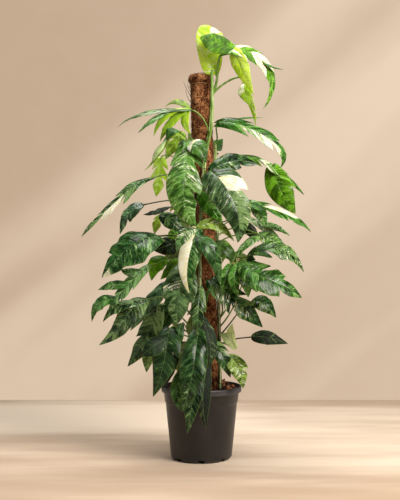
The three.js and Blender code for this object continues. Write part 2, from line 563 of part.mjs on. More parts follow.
// The blade's middle surface: a follows the rib and b runs from the rib to the margin
function bladePoint(leaf, frame, a, b, side) {
  const { start, taper, fullness } = blade.outline;
  const half = (leaf.width / 2) * Math.sin(Math.PI * (start + (1 - start) * a ** taper)) ** fullness;
  const heel = Math.exp(-a / blade.heelShare);
  const swept = blade.sweep * (1 - a) * (1 - heel) - blade.heel * heel;
  const u = Math.min(a + swept * b ** blade.sweepCurve, 1);
  const station = Math.max(u, 0) * blade.stations;
  const index = Math.min(Math.floor(station), blade.stations - 1);
  const normal = frame.normals[index].clone().lerp(frame.normals[index + 1], station - index);
  const tangent = ribTangent(frame.points, u);
  normal.addScaledVector(tangent, -normal.dot(tangent)).normalize();
  const across = normal.clone().cross(tangent).multiplyScalar(side);
  const fold = (blade.fold * Math.PI) / 180;
  const phase = leaf.width * blade.wavePhase + side;
  const wave = blade.waveHeight * Math.sin(2 * Math.PI * blade.waves * a + phase) * b * b;
  const out = half * b * Math.cos(fold);
  const rise = half * (b * Math.sin(fold) - blade.curl * b * b + wave);
  return through(frame.points, u).addScaledVector(across, out).addScaledVector(normal, rise);
}

// Places along the rib where the blade's mesh has a line of vertices
function bladeColumns(leaf) {
  const few = leaf.width < blade.narrow ? [0.25, 0.6] : [0.16, 0.42, 0.7];
  const even = leaf.large ? [0.1, 0.28, 0.5, 0.75] : few;
  const cutAt = ([place]) => [place - slash.shoulder, place, place + slash.rounding];
  const columns = [0, 1, ...(leaf.cuts ?? []).flatMap(cutAt)];
  const addApart = (places, apart) => places.forEach((place) => {
    if (columns.every((other) => Math.abs(other - place) > apart)) columns.push(place);
  });
  addApart(leaves.filter((other) => other.on === leaf.name).map((other) => other.at), slash.shoulder / 2);
  addApart(even, slash.rounding / 2);
  return columns.sort((p, q) => p - q);
}

// A blade is one surface with a rib line in the middle, given its thickness along its normals
function makeBlade(leaf) {
  const points = ribPoints(leaf);
  const frame = { points, normals: ribNormals(leaf, points) };
  const columns = bladeColumns(leaf);
  const rows = leaf.large ? [0.5, 1] : [1];
  const middle = [];
  const indexOf = new Map();
  const place = (i, j, side) => {
    const tip = i === columns.length - 1;
    const key = j === 0 || tip ? `rib ${i}` : `${i} ${j} ${side}`;
    if (!indexOf.has(key)) {
      const b = j === 0 || tip ? 0 : rows[j - 1] * reach(leaf, columns[i], side);
      indexOf.set(key, middle.length);
      middle.push(bladePoint(leaf, frame, columns[i], b, side));
    }
    return indexOf.get(key);
  };
  const faces = [];
  const addFace = (p, q, r, side) => {
    if (p === q || q === r || r === p) return;
    faces.push(side > 0 ? [p, q, r] : [p, r, q]);
  };
  for (const side of [1, -1]) {
    for (let i = 0; i < columns.length - 1; i += 1) {
      for (let j = 0; j < rows.length; j += 1) {
        const p = place(i, j, side);
        const q = place(i + 1, j, side);
        const r = place(i + 1, j + 1, side);
        const s = place(i, j + 1, side);
        addFace(p, q, r, side);
        addFace(p, r, s, side);
      }
    }
  }
  const corner = (face) => face.map((index) => middle[index]);
  const faceNormal = ([p, q, r]) => q.clone().sub(p).cross(r.clone().sub(p));
  const normals = middle.map(() => new THREE.Vector3());
  for (const face of faces) {
    const normal = faceNormal(corner(face));
    for (const index of face) normals[index].add(normal);
  }
  const count = middle.length;
  const positions = [];
  for (const lift of [blade.thickness / 2, -blade.thickness / 2]) {
    middle.forEach((point, index) => {
      positions.push(...point.clone().addScaledVector(normals[index].clone().normalize(), lift).toArray());
    });
  }
  const index = faces.flatMap(([p, q, r]) => [p, q, r, p + count, r + count, q + count]);
  const edges = new Set(faces.flatMap(([p, q, r]) => [`${p} ${q}`, `${q} ${r}`, `${r} ${p}`]));
  for (const edge of edges) {
    const [p, q] = edge.split(" ").map(Number);
    if (!edges.has(`${q} ${p}`)) index.push(p, p + count, q + count, p, q + count, q);
  }
  const geometry = new THREE.BufferGeometry();
  geometry.setAttribute("position", new THREE.Float32BufferAttribute(positions, 3));
  geometry.setIndex(index);
  return solid(geometry);
}

// A stalk that leaves the stem outward and upward, and ends under the blade's rib
function makePetiole(leaf) {
  const points = ribPoints(leaf);
  const normal = ribNormals(leaf, points)[0];
  const start = stemPoint(leaf.stem, leaf.from);
  const outward = new THREE.Vector3(start.x - poleX(leaf.from), start.y, 0).normalize();
  const base = through(points, 0);
  const length = base.distanceTo(start);
  const reachOut = petiole.bend * length;
  const first = start.clone().addScaledVector(outward, reachOut).addScaledVector(up, reachOut);
  const second = base.clone().addScaledVector(ribTangent(points, 0), -reachOut);
  const end = through(points, petiole.seat).addScaledVector(normal, -blade.thickness);
  const curve = new THREE.CubicBezierCurve3(start, first, second, end);
  const radius = leaf.stalk ?? petiole.radius + petiole.growth * leaf.width;
  return bar(curve, radius, petiole.sides, petiole.steps);
}

// The largest closed surface of a join, which leaves out the hollows that the join sealed
function outerSurface(body) {
  const surfaces = body.decompose();
  return surfaces.reduce((largest, other) => (other.volume() > largest.volume() ? other : largest));
}

function makeStem(name) {
  const grown = leaves.filter((leaf) => leaf.stem === name);
  const lobes = leaves.filter((leaf) => grown.some((parent) => parent.name === leaf.on));
  const pieces = [bar(stemCurve(name), stem.radius, stem.sides, stem.steps)];
  grown.forEach((leaf) => pieces.push(makePetiole(leaf)));
  [...grown, ...lobes].forEach((leaf) => pieces.push(makeBlade(leaf)));
  addPiece(`stem_${name}`, outerSurface(pieces.reduce((body, piece) => body.add(piece))), "leaf");
}

makePot();
makeSoil();
makePole();
Object.keys(stems).forEach(makeStem);

export default part;
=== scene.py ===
# Looks for a potted climbing aroid with cream-marbled leaves on a coir pole.
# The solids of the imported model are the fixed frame. Lengths in the settings are in millimetres.
import math

import bpy
import numpy as np
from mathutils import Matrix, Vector


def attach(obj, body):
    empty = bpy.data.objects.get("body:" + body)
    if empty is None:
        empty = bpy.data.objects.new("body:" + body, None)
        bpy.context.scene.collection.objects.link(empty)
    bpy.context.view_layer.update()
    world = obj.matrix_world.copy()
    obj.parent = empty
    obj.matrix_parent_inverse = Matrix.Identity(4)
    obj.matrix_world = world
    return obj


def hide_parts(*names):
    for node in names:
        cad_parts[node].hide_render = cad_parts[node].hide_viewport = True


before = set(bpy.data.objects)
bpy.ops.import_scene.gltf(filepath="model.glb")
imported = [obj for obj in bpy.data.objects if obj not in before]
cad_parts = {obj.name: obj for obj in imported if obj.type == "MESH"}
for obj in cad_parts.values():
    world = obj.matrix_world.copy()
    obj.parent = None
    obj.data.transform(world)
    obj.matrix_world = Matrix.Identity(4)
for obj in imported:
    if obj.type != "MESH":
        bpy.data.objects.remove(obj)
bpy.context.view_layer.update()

scene = bpy.context.scene
mm = 0.001


def rgb(red, green, blue):
    # a colour as the eye reads it, from 0 to 255, in the linear values that Blender takes
    def linear(value):
        value = value / 255
        return value / 12.92 if value <= 0.04045 else ((value + 0.055) / 1.055) ** 2.4
    return (linear(red), linear(green), linear(blue), 1)


# Node trees as Python expressions

class Wire:
    def __init__(self, graph, socket):
        self.graph, self.socket = graph, socket

    def maths(self, operation, first, second=None):
        values = {0: first} if second is None else {0: first, 1: second}
        return self.graph.add("ShaderNodeMath", {"operation": operation}, values)

    def __add__(self, other):
        return self.maths("ADD", self, other)

    def __radd__(self, other):
        return self.maths("ADD", other, self)

    def __sub__(self, other):
        return self.maths("SUBTRACT", self, other)

    def __rsub__(self, other):
        return self.maths("SUBTRACT", other, self)

    def __mul__(self, other):
        return self.maths("MULTIPLY", self, other)

    def __rmul__(self, other):
        return self.maths("MULTIPLY", other, self)

    def __truediv__(self, other):
        return self.maths("DIVIDE", self, other)

    def __abs__(self):
        return self.maths("ABSOLUTE", self)

    def sine(self):
        return self.maths("SINE", self)

    def below(self, other):
        return self.maths("LESS_THAN", self, other)

    def over(self, other):
        return self.maths("GREATER_THAN", self, other)


class Graph:
    def __init__(self, tree, look=None):
        self.tree, self.look = tree, look
        tree.nodes.clear()

    def add(self, kind, settings=None, values=None, output=0):
        node = self.tree.nodes.new(kind)
        for key, value in (settings or {}).items():
            if key == "stops":
                self.setStops(node.color_ramp, value)
            else:
                setattr(node, key, value)
        for key, value in (values or {}).items():
            if isinstance(value, Wire):
                self.tree.links.new(value.socket, node.inputs[key])
            else:
                node.inputs[key].default_value = value
        return Wire(self, node.outputs[output]) if len(node.outputs) else None

    def setStops(self, ramp, stops):
        while len(ramp.elements) < len(stops):
            ramp.elements.new(0.5)
        for element, (place, colour) in zip(ramp.elements, stops):
            element.position, element.color = place, rgb(*colour)

    def other(self, wire, output):
        return Wire(self, wire.socket.node.outputs[output])

    def ramp(self, factor, stops):
        return self.add("ShaderNodeValToRGB", {"stops": stops}, {"Fac": factor})

    def mix(self, factor, first, second):
        return self.add("ShaderNodeMix", {"data_type": "RGBA"}, {0: factor, 6: first, 7: second}, 2)

    def step(self, value, low, high, start=0, end=1):
        values = {"Value": value, "From Min": low, "From Max": high, "To Min": start, "To Max": end}
        return self.add("ShaderNodeMapRange", {"interpolation_type": "SMOOTHSTEP"}, values)

    def paints(self, *names):
        return [rgb(*self.look[name]) for name in names]

    def edge(self, value, name):
        # a soft step whose limits are in the settings
        return self.step(value, *self.look[name])

    def blend(self, name, *values):
        # a sum whose weights are in the settings
        first, *others = [value * weight for value, weight in zip(values, self.look[name])]
        return sum(others, first)

    def join(self, x, y, z):
        return self.add("ShaderNodeCombineXYZ", {}, {0: x, 1: y, 2: z})

    def split(self, vector):
        x = self.add("ShaderNodeSeparateXYZ", {}, {0: vector})
        return x, self.other(x, 1), self.other(x, 2)

    def stretched(self, vector, scale):
        return self.add("ShaderNodeVectorMath", {"operation": "MULTIPLY"}, {0: vector, 1: scale})

    def resized(self, vector, scale):
        return self.add("ShaderNodeVectorMath", {"operation": "SCALE"}, {0: vector, "Scale": scale})

    def noise(self, vector, scale, detail=3, roughness=0.55, distortion=0, output=0):
        # three scales in place of one stretch the pattern along the axes
        if isinstance(scale, tuple):
            vector, scale = self.stretched(vector, scale), 1
        return self.add("ShaderNodeTexNoise", {}, {
            "Vector": vector, "Scale": scale, "Detail": detail, "Roughness": roughness,
            "Distortion": distortion}, output)


class Finish(Graph):
    # a material with a Principled shader, whose unchanging values are set on its own sockets
    def __init__(self, name, look):
        self.material = bpy.data.materials.new(name)
        self.material.use_nodes = True
        super().__init__(self.material.node_tree, look)
        self.skin = self.add("ShaderNodeBsdfPrincipled", {}, look["shader"])
        self.add("ShaderNodeOutputMaterial", {}, {"Surface": self.skin})

    def place(self):
        return self.add("ShaderNodeTexCoord", {}, {}, "Object")

    def patterns(self, *names):
        # noises over the piece, with their scale, detail, roughness and distortion in the settings
        place = self.place()
        return [self.noise(place, *self.look[name]) for name in names]

    def rough(self, value):
        least, more = self.look["roughness"]
        return least + value * more

    def attribute(self, name, output="Vector"):
        return self.add("ShaderNodeAttribute", {"attribute_name": name}, {}, output)

    def feed(self, wires, height=None):
        # links what changes over the surface; a height becomes a Bump node
        if height is not None:
            wires["Normal"] = self.add("ShaderNodeBump", {}, {
                "Strength": 1.0, "Distance": self.look["depth"] * mm, "Height": height})
        for key, wire in wires.items():
            self.tree.links.new(wire.socket, self.skin.socket.node.inputs[key])
        return self.material


class Growth(Graph):
    # a Geometry Nodes tree with named inputs, run on one object and turned into a plain mesh
    def __init__(self, name, **inputs):
        super().__init__(bpy.data.node_groups.new(name, "GeometryNodeTree"))
        face = self.tree.interface
        face.new_socket("Geometry", in_out="INPUT", socket_type="NodeSocketGeometry")
        self.values = {}
        for key, value in inputs.items():
            kind = {int: "NodeSocketInt", float: "NodeSocketFloat"}.get(type(value), "NodeSocketMaterial")
            socket = face.new_socket(key, in_out="INPUT", socket_type=kind)
            self.values[socket.identifier] = value
        face.new_socket("Geometry", in_out="OUTPUT", socket_type="NodeSocketGeometry")
        self.entry = self.tree.nodes.new("NodeGroupInput")

    def input(self, name):
        return Wire(self, self.entry.outputs[name])

    def random(self, low, high, seed):
        # a random number or vector for every point, the same in each run
        if isinstance(low, tuple):
            values = {"Min": low, "Max": high, "Seed": seed}
            return self.add("FunctionNodeRandomValue", {"data_type": "FLOAT_VECTOR"}, values)
        return self.add("FunctionNodeRandomValue", {"data_type": "FLOAT"}, {2: low, 3: high, "Seed": seed}, 1)

    def together(self, *shapes):
        both = self.add("GeometryNodeJoinGeometry")
        for shape in shapes:
            self.tree.links.new(shape.socket, both.socket.node.inputs[0])
        return both

    def run(self, piece, shape):
        shape = self.add("GeometryNodeRealizeInstances", {}, {0: shape})
        shape = self.add("GeometryNodeSetMaterial", {}, {0: shape, "Material": self.input("Material")})
        self.add("NodeGroupOutput", {}, {0: shape})
        modifier = piece.modifiers.new(self.tree.name, "NODES")
        modifier.node_group = self.tree
        for identifier, value in self.values.items():
            modifier[identifier] = value
        return keepResult(piece)


def newPiece(name, data):
    piece = bpy.data.objects.new(name, data)
    scene.collection.objects.link(piece)
    return piece


def newMesh(name, points, faces, material, smooth=True):
    mesh = bpy.data.meshes.new(name)
    mesh.from_pydata(points, [], faces)
    mesh.validate()
    mesh.polygons.foreach_set("use_smooth", [smooth] * len(mesh.polygons))
    mesh.materials.append(material)
    return newPiece(name, mesh)


def keepResult(piece):
    # the evaluated shape as a plain mesh, without its modifiers
    bpy.context.view_layer.update()
    evaluated = piece.evaluated_get(bpy.context.evaluated_depsgraph_get())
    mesh = bpy.data.meshes.new_from_object(evaluated)
    mesh.name = piece.name
    piece.modifiers.clear()
    piece.data = mesh
    return piece


def settle(piece, slot, *nodes):
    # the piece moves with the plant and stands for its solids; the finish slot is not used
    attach(piece, "root")
    if nodes:
        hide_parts(*nodes)


print("Frame loaded:", len(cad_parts), "solids")


# Camera, light and stage

view = {"place": (-4.7, -3146, 702), "lens": 66.96, "sensor": 36}
lamps = [
    # name, place, aimed at, size, watts, colour
    ("key", (1900, -2100, 2500), (0, 0, 700), 1900, 156, (255, 248, 238)),
    ("top", (-300, 200, 3000), (0, 0, 900), 1500, 54, (255, 252, 248)),
    ("fill", (-2400, -1900, 1500), (0, 0, 700), 1600, 7, (246, 248, 255)),
]
backdrop = {
    "wall": (197, 171, 144), "lit": (236, 213, 187), "ambient": (255, 250, 244), "strength": 0.165,
    # painted light: the wall's colour runs from wall to lit, painted brighter to the right, with slanting
    # beams of painted sunlight and a fine grain
    "brighterSide": (-0.22, 0.3, 0, 0.45), "beamSlant": (2.2, 1.9, 0.5, 0.6, 0.3), "beams": (2.4, 2),
    "beamEdge": (0.5, 0.68), "beamLight": 0.55, "plaster": (34, 4, 0.6), "plasterGrain": 0.16,
}
floor = {
    "from": (-1500, -1500), "to": (1500, 1206), "shader": {"Roughness": 0.75},
    # lit and shade are the floor's colour in painted light and in painted shade
    "lit": (246, 226, 203), "shade": (194, 168, 143),
    # soft bands of painted light, in metres: a broad one to the right, a narrow one behind to the left
    "right": (-0.2, 0.35), "broadFrom": (-0.45, -0.05), "broadTo": (1.15, 0.8),
    "narrowFrom": (0.3, 0.6), "narrowTo": (1.2, 0.95), "narrowLight": 1.5, "bandLight": 0.5,
    # painted light in soft streaks, its least amount, and less painted light on the right
    "streaks": (1.3, 3), "streakStretch": (0.8, 4.5, 1), "streakLight": 1.3, "least": 0.3, "rightLoss": 0.16,
}


def makeCamera():
    data = bpy.data.cameras.new("camera")
    data.lens, data.sensor_width = view["lens"], view["sensor"]
    camera = newPiece("camera", data)
    camera.location = Vector(view["place"]) * mm
    camera.rotation_euler = (math.pi / 2, 0, 0)
    scene.camera = camera


def makeLights():
    for name, place, target, size, watts, colour in lamps:
        data = bpy.data.lights.new(name, "AREA")
        data.shape, data.size, data.energy = "DISK", size * mm, watts
        data.color = rgb(*colour)[:3]
        lamp = newPiece(name, data)
        lamp.location = Vector(place) * mm
        lamp.rotation_euler = (Vector(target) - Vector(place)).to_track_quat("-Z", "Y").to_euler()


def makeBackdrop():
    # the camera sees a beige wall with painted soft sunlight, and the plant is lit by a plain pale glow
    world = bpy.data.worlds.new("studio")
    world.use_nodes = True
    scene.world = world
    graph = Graph(world.node_tree, backdrop)
    toward = graph.add("ShaderNodeTexCoord", {}, {}, "Generated")
    x, y, z = graph.split(toward)
    rise, run, wide, deep, back = backdrop["beamSlant"]
    slanting = graph.join(z * rise - x * run, x * wide + y * deep, y * back)
    beams = graph.edge(graph.noise(slanting, *backdrop["beams"]), "beamEdge")
    plaster = graph.noise(toward, *backdrop["plaster"]) - 0.5
    # painted sunlight on the wall: brighter to the right and in the beams
    light = graph.edge(x, "brighterSide") + beams * backdrop["beamLight"]
    dim, lit, ambient = graph.paints("wall", "lit", "ambient")
    colour = graph.mix(light + plaster * backdrop["plasterGrain"], dim, lit)
    wall = graph.add("ShaderNodeBackground", {}, {"Color": colour})
    glow = graph.add("ShaderNodeBackground", {}, {"Color": ambient, "Strength": backdrop["strength"]})
    seen = graph.add("ShaderNodeLightPath", {}, {}, "Is Camera Ray")
    shown = graph.add("ShaderNodeMixShader", {}, {0: seen, 1: glow, 2: wall})
    graph.add("ShaderNodeOutputWorld", {}, {"Surface": shown})


def makeFloor():
    graph = Finish("paleFloor", floor)
    place = graph.place()
    x, y, _ = graph.split(place)
    # the floor's colour is painted light and shade: bands and streaks of painted sunlight between the shade
    # and lit colours
    streak = graph.noise(graph.stretched(place, floor["streakStretch"]), *floor["streaks"]) - 0.5
    right = graph.edge(x, "right")
    broad = graph.edge(y, "broadFrom") * graph.edge(y, "broadTo")
    narrow = graph.edge(y, "narrowFrom") * graph.edge(y, "narrowTo")
    band = right * broad + (1 - right) * narrow * floor["narrowLight"]
    light = band * floor["bandLight"] + streak * floor["streakLight"] + floor["least"]
    light = graph.step(light - right * floor["rightLoss"], 0, 1)
    material = graph.feed({"Base Color": graph.mix(light, *graph.paints("shade", "lit"))})
    (x0, y0), (x1, y1) = floor["from"], floor["to"]
    corners = [(x0 * mm, y0 * mm, 0), (x1 * mm, y0 * mm, 0), (x1 * mm, y1 * mm, 0), (x0 * mm, y1 * mm, 0)]
    newMesh("floor", corners, [(0, 1, 2, 3)], material)


scene.view_settings.view_transform = "Standard"
makeCamera()
makeLights()
makeBackdrop()
makeFloor()
print("Camera, lights and floor made")


# Coir pole

pole = {
    "x": 22, "at": 240, "lean": 0.023, "sides": 88,
    "sleeve": {"radius": 35, "bottom": 60, "top": 1259, "rows": 260, "rounding": 1.5},
    "cap": {"radius": 39, "bottom": 1263, "top": 1293, "rows": 16, "rounding": 13},
    "ring": {"radius": 37, "bottom": 1259, "top": 1263, "rows": 6, "rounding": 1.6},
}
fibres = {
    "radius": 0.34, "segments": 4, "sides": 3, "lengths": (0.55, 1.35), "lengthSeed": 5,
    "sway": 0.12, "turn": 3.14, "turnSeed": 3, "leastRise": 0.3, "lumps": (62, 4, 0.65),
    # a bent hair of length 1, which lies along the surface
    "bow": {"Start": (-0.5, 0, -0.02), "Start Handle": (-0.2, 0.12, 0.05), "End Handle": (0.2, -0.16, 0.07),
            "End": (0.5, 0, 0)},
    "sleeve": {"count": 5200, "length": 26, "lump": 5, "upward": 0.0, "seed": 4},
    "cap": {"count": 900, "length": 17, "lump": 4.5, "upward": 0.5, "seed": 9},
}


def poleX(height):
    return pole["x"] - pole["lean"] * (height - pole["at"])


def makeCylinder(name, shape, material):
    # an upright bar on the pole's leaning axis, with closed and rounded ends
    bottom, top, rows, rounding = (shape[key] for key in ("bottom", "top", "rows", "rounding"))
    sides = pole["sides"]
    points, faces = [(poleX(bottom) * mm, 0, bottom * mm)], []
    for row in range(rows + 1):
        height = bottom + (top - bottom) * row / rows
        edge = max(0, 1 - min(row, rows - row) * (top - bottom) / rows / rounding)
        radius = shape["radius"] - rounding * (1 - math.sqrt(max(0, 1 - edge * edge)))
        for i in range(sides):
            angle = 2 * math.pi * i / sides
            x, y = poleX(height) + radius * math.cos(angle), radius * math.sin(angle)
            points.append((x * mm, y * mm, height * mm))
    points.append((poleX(top) * mm, 0, top * mm))

    def spot(row, i):
        return 1 + row * sides + i % sides

    for i in range(sides):
        faces.append((0, spot(0, i + 1), spot(0, i)))
        faces.append((len(points) - 1, spot(rows, i), spot(rows, i + 1)))
        faces += [(spot(r, i), spot(r, i + 1), spot(r + 1, i + 1), spot(r + 1, i)) for r in range(rows)]
    return newMesh(name, points, faces, material)


def growFibres(piece, hairs, material):
    # roughens the surface and lays bent hairs over it
    graph = Growth("coirFibres", Count=hairs["count"], Length=hairs["length"] * mm, Seed=hairs["seed"],
                   Radius=fibres["radius"] * mm, Lump=hairs["lump"] * mm, Material=material)
    lumps = graph.noise(graph.add("GeometryNodeInputPosition"), *fibres["lumps"])
    rise = graph.resized(graph.add("GeometryNodeInputNormal"), (lumps - 0.5) * 2 * graph.input("Lump"))
    body = graph.add("GeometryNodeSetPosition", {}, {"Geometry": graph.input("Geometry"), "Offset": rise})
    area = graph.add("GeometryNodeAttributeStatistic", {"domain": "FACE"},
                     {"Geometry": body, "Attribute": graph.add("GeometryNodeInputMeshFaceArea")}, "Sum")
    spread = graph.add("GeometryNodeDistributePointsOnFaces", {},
                       {"Mesh": body, "Density": graph.input("Count") / area, "Seed": graph.input("Seed")})
    bow = graph.add("GeometryNodeCurvePrimitiveBezierSegment", {"mode": "POSITION"},
                    {"Resolution": fibres["segments"], **fibres["bow"]})
    thin = graph.add("GeometryNodeCurvePrimitiveCircle", {}, {"Resolution": fibres["sides"], "Radius": 1.0})
    hair = graph.add("GeometryNodeCurveToMesh", {}, {
        "Curve": bow, "Profile Curve": thin, "Scale": graph.input("Radius") / graph.input("Length"),
        "Fill Caps": True})
    sway, turn, upward = fibres["sway"], fibres["turn"], hairs["upward"]
    least, most = upward * fibres["leastRise"], upward
    spin = graph.random((-sway, -most - sway, -turn), (sway, sway - least, turn), fibres["turnSeed"])
    aim = graph.add("FunctionNodeRotateRotation", {"rotation_space": "LOCAL"},
                    {"Rotation": graph.other(spread, "Rotation"), "Rotate By": spin})
    lengths = graph.random(*fibres["lengths"], fibres["lengthSeed"]) * graph.input("Length")
    grown = graph.add("GeometryNodeInstanceOnPoints", {}, {
        "Points": spread, "Instance": hair, "Rotation": aim, "Scale": lengths})
    return graph.run(piece, graph.together(grown, body))


coirFinish = {
    "shader": {"IOR": 1.4, "Specular IOR Level": 0.2},
    "stops": ((0.49, (36, 18, 9)), (0.56, (120, 68, 38)), (0.68, (206, 148, 98))),
    "curl": ((80, 80, 56), 3, 0.6, 2.2), "strand": ((380, 380, 240), 3, 0.65, 1.2), "clump": (34, 3, 0.6),
    "tint": (0.6, 0.25, 0.3), "relief": (0.7, 0.3), "depth": 2.2, "roughness": (0.82, 0.15),
}
twineFinish = {
    "shader": {"Roughness": 0.8}, "dark": (104, 68, 38), "bright": (178, 126, 78),
    "grain": ((300, 300, 900), 2), "grainEdge": (0.4, 0.6), "depth": 0.4,
}
stakeFinish = {
    "shader": {"Roughness": 0.7}, "dark": (126, 94, 58), "bright": (186, 152, 104),
    "grain": ((300, 300, 9), 4, 0.6), "grainEdge": (0.35, 0.65), "depth": 0.3,
}


def makeCoir():
    # matted curls of fibre over dark gaps of painted shade, in paler and darker clumps
    graph = Finish("coirFibre", coirFinish)
    curl, strand, clump = graph.patterns("curl", "strand", "clump")
    colour = graph.ramp(graph.blend("tint", curl, strand, clump), coirFinish["stops"])
    wires = {"Base Color": colour, "Roughness": graph.rough(clump)}
    return graph.feed(wires, graph.blend("relief", curl, strand))


def makeGrained(name, look):
    # two colours along a fine grain
    graph = Finish(name, look)
    grain, = graph.patterns("grain")
    colour = graph.mix(graph.edge(grain, "grainEdge"), *graph.paints("dark", "bright"))
    return graph.feed({"Base Color": colour}, grain)


def makePole():
    coir = makeCoir()
    sleeve = makeCylinder("coir_sleeve", pole["sleeve"], coir)
    settle(growFibres(sleeve, fibres["sleeve"], coir), "coir", "pole_coir")
    cap = makeCylinder("coir_cap", pole["cap"], coir)
    settle(growFibres(cap, fibres["cap"], coir), "coir", "pole_cap")
    ring = makeCylinder("cap_ring", pole["ring"], makeGrained("coirTwine", twineFinish))
    settle(ring, "coir", "pole_binding")
    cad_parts["pole_core"].material_slots[0].material = makeGrained("stakeWood", stakeFinish)


# Pot and soil

pot = {
    # radius and height, round the outside from the foot to the rim and back down inside
    "profile": [
        (0, 0), (93, 0), (95, 0.6), (103, 9), (120.6, 186), (121, 189), (123.2, 192), (123.7, 195),
        (126.8, 223.5), (127.6, 225), (134, 225.3), (135, 226.6), (135.2, 234), (135, 241), (134.2, 243.6),
        (132.4, 245), (130.8, 243.8), (130, 241), (127, 229), (124.8, 225), (121.6, 194), (119, 189),
        (101, 9.5), (93, 2.5), (0, 2.5)],
    "sides": 144, "softenings": 2, "softCorner": 0.8, "sharpAngle": 35,
    "slots": 8, "slotFrom": 84, "slotTo": 150, "slotFoot": -3, "slotWidth": 20, "slotHeight": 11,
}
potFinish = {
    # rim is a painted highlight: the rim is painted a paler bluish grey
    "shader": {"IOR": 1.46}, "plastic": (19, 18, 19), "dusty": (39, 36, 35), "rim": (62, 61, 64),
    "dust": (14, 5, 0.65), "grain": (900, 2), "smear": ((30, 30, 5), 4, 0.6),
    "dustEdge": (0.4, 0.75), "dustShare": 0.6, "rimFrom": (0.222, 0.229), "rimHighlightBreak": (0.2, 0.6, 0.5, 1),
    "relief": (0.5, 0.3), "depth": 0.12, "roughness": (0.3, 0.2),
}
soil = {
    "radius": 122.5, "height": 227, "foot": [(0, 14), (66, 14), (97, 19), (118, 189)],
    "rings": 46, "sides": 120, "edge": 14, "swell": 7, "swellWaves": (11, 13, 7),
    "crumbs": 0.7, "crumbWaves": (0.9, 0.4, 1.1, 0.3), "mound": 25, "moundAt": (30, 84), "moundRadius": 60,
}
chips = {
    "count": 760, "size": 13, "sizes": (0.35, 1.7), "block": (1.0, 0.62, 0.34), "bite": 0.55,
    "bites": (2.3, 2, 0.5), "tilt": 0.8, "turn": 3.14, "seed": 6, "turnSeed": 8, "sizeSeed": 2,
    # where they lie and the area that this is, in metres
    "within": 0.113, "above": 0.2, "area": 0.040,
}
barkFinish = {
    "shader": {"IOR": 1.4, "Specular IOR Level": 0.25}, "flakes": 95.0, "fine": (240, 4, 0.7),
    "stops": ((0.4, (14, 9, 7)), (0.52, (62, 34, 21)), (0.66, (114, 66, 40)), (0.84, (162, 114, 80))),
    "tint": (0.6, 0.4), "depth": 1.0, "roughness": (0.8, 0.18),
}


def roundProfile(profile):
    # softens the corners of a turned profile, and keeps its ends on the axis
    for _ in range(pot["softenings"]):
        softer = [profile[0]]
        for p, q in zip(profile, profile[1:]):
            share = min(0.25, pot["softCorner"] / math.dist(p, q))
            softer += [(p[0] + (q[0] - p[0]) * share, p[1] + (q[1] - p[1]) * share),
                       (q[0] - (q[0] - p[0]) * share, q[1] - (q[1] - p[1]) * share)]
        profile = softer + [profile[-1]]
    return profile


def turnProfile(name, profile, sides, material):
    # a form turned round the upright axis, where a height may be a formula of x, y and the radius
    points, faces, rings = [], [], []
    for radius, height in profile:
        corners = sides if radius > 0.01 else 1
        rings.append([len(points) + i % corners for i in range(sides)])
        for i in range(corners):
            angle = 2 * math.pi * i / sides
            x, y = radius * math.cos(angle), radius * math.sin(angle)
            points.append((x * mm, y * mm, (height(x, y, radius) if callable(height) else height) * mm))
    for low, high in zip(rings, rings[1:]):
        for i in range(sides):
            face = [low[i], low[(i + 1) % sides], high[(i + 1) % sides], high[i]]
            face = [p for order, p in enumerate(face) if p not in face[:order]]
            if len(face) > 2:
                faces.append(face)
    return newMesh(name, points, faces, material)


def makePlastic():
    graph = Finish("blackPlastic", potFinish)
    dust, grain, smear = graph.patterns("dust", "grain", "smear")
    plastic, dusty, rim = graph.paints("plastic", "dusty", "rim")
    colour = graph.mix(graph.edge(dust, "dustEdge") * potFinish["dustShare"], plastic, dusty)
    # painted highlight on the rim, broken up by the dust pattern
    paintedRimHighlight = graph.edge(graph.split(graph.place())[2], "rimFrom") * graph.edge(dust, "rimHighlightBreak")
    wires = {"Base Color": graph.mix(paintedRimHighlight, colour, rim), "Roughness": graph.rough(smear)}
    return graph.feed(wires, graph.blend("relief", grain, dust))


def cutSlots(body):
    # drainage slots round the foot, cut by one mesh of blocks
    points, faces = [], []
    half = pot["slotWidth"] / 2
    block = [(3, 2, 1, 0), (4, 5, 6, 7), (0, 1, 5, 4), (1, 2, 6, 5), (2, 3, 7, 6), (3, 0, 4, 7)]
    plan = [(pot["slotFrom"], -half), (pot["slotTo"], -half), (pot["slotTo"], half), (pot["slotFrom"], half)]
    for i in range(pot["slots"]):
        angle = 2 * math.pi * i / pot["slots"]
        faces += [[corner + len(points) for corner in face] for face in block]
        for height in (pot["slotFoot"], pot["slotHeight"]):
            for along, side in plan:
                x = along * math.cos(angle) - side * math.sin(angle)
                y = along * math.sin(angle) + side * math.cos(angle)
                points.append((x * mm, y * mm, height * mm))
    cutter = newMesh("slotCutter", points, faces, body.data.materials[0], False)
    cut = body.modifiers.new("slots", "BOOLEAN")
    cut.object, cut.operation, cut.solver = cutter, "DIFFERENCE", "EXACT"
    keepResult(body)
    bpy.data.objects.remove(cutter)
    for polygon in body.data.polygons:
        polygon.use_smooth = True
    body.data.set_sharp_from_angle(angle=math.radians(pot["sharpAngle"]))


def makePot():
    body = turnProfile("nursery_pot", roundProfile(pot["profile"]), pot["sides"], makePlastic())
    cutSlots(body)
    settle(body, "pot", "pot")


def makeBarkMix():
    graph = Finish("barkMix", barkFinish)
    cells = {"Vector": graph.place(), "Scale": barkFinish["flakes"]}
    flake = graph.split(graph.add("ShaderNodeTexVoronoi", {}, cells, "Color"))[0]
    fine, = graph.patterns("fine")
    # the darkest flakes are partly the bark's own dark browns and partly painted shade for the gaps between
    # chips
    colour = graph.ramp(graph.blend("tint", flake, fine), barkFinish["stops"])
    return graph.feed({"Base Color": colour, "Roughness": graph.rough(fine)}, fine)


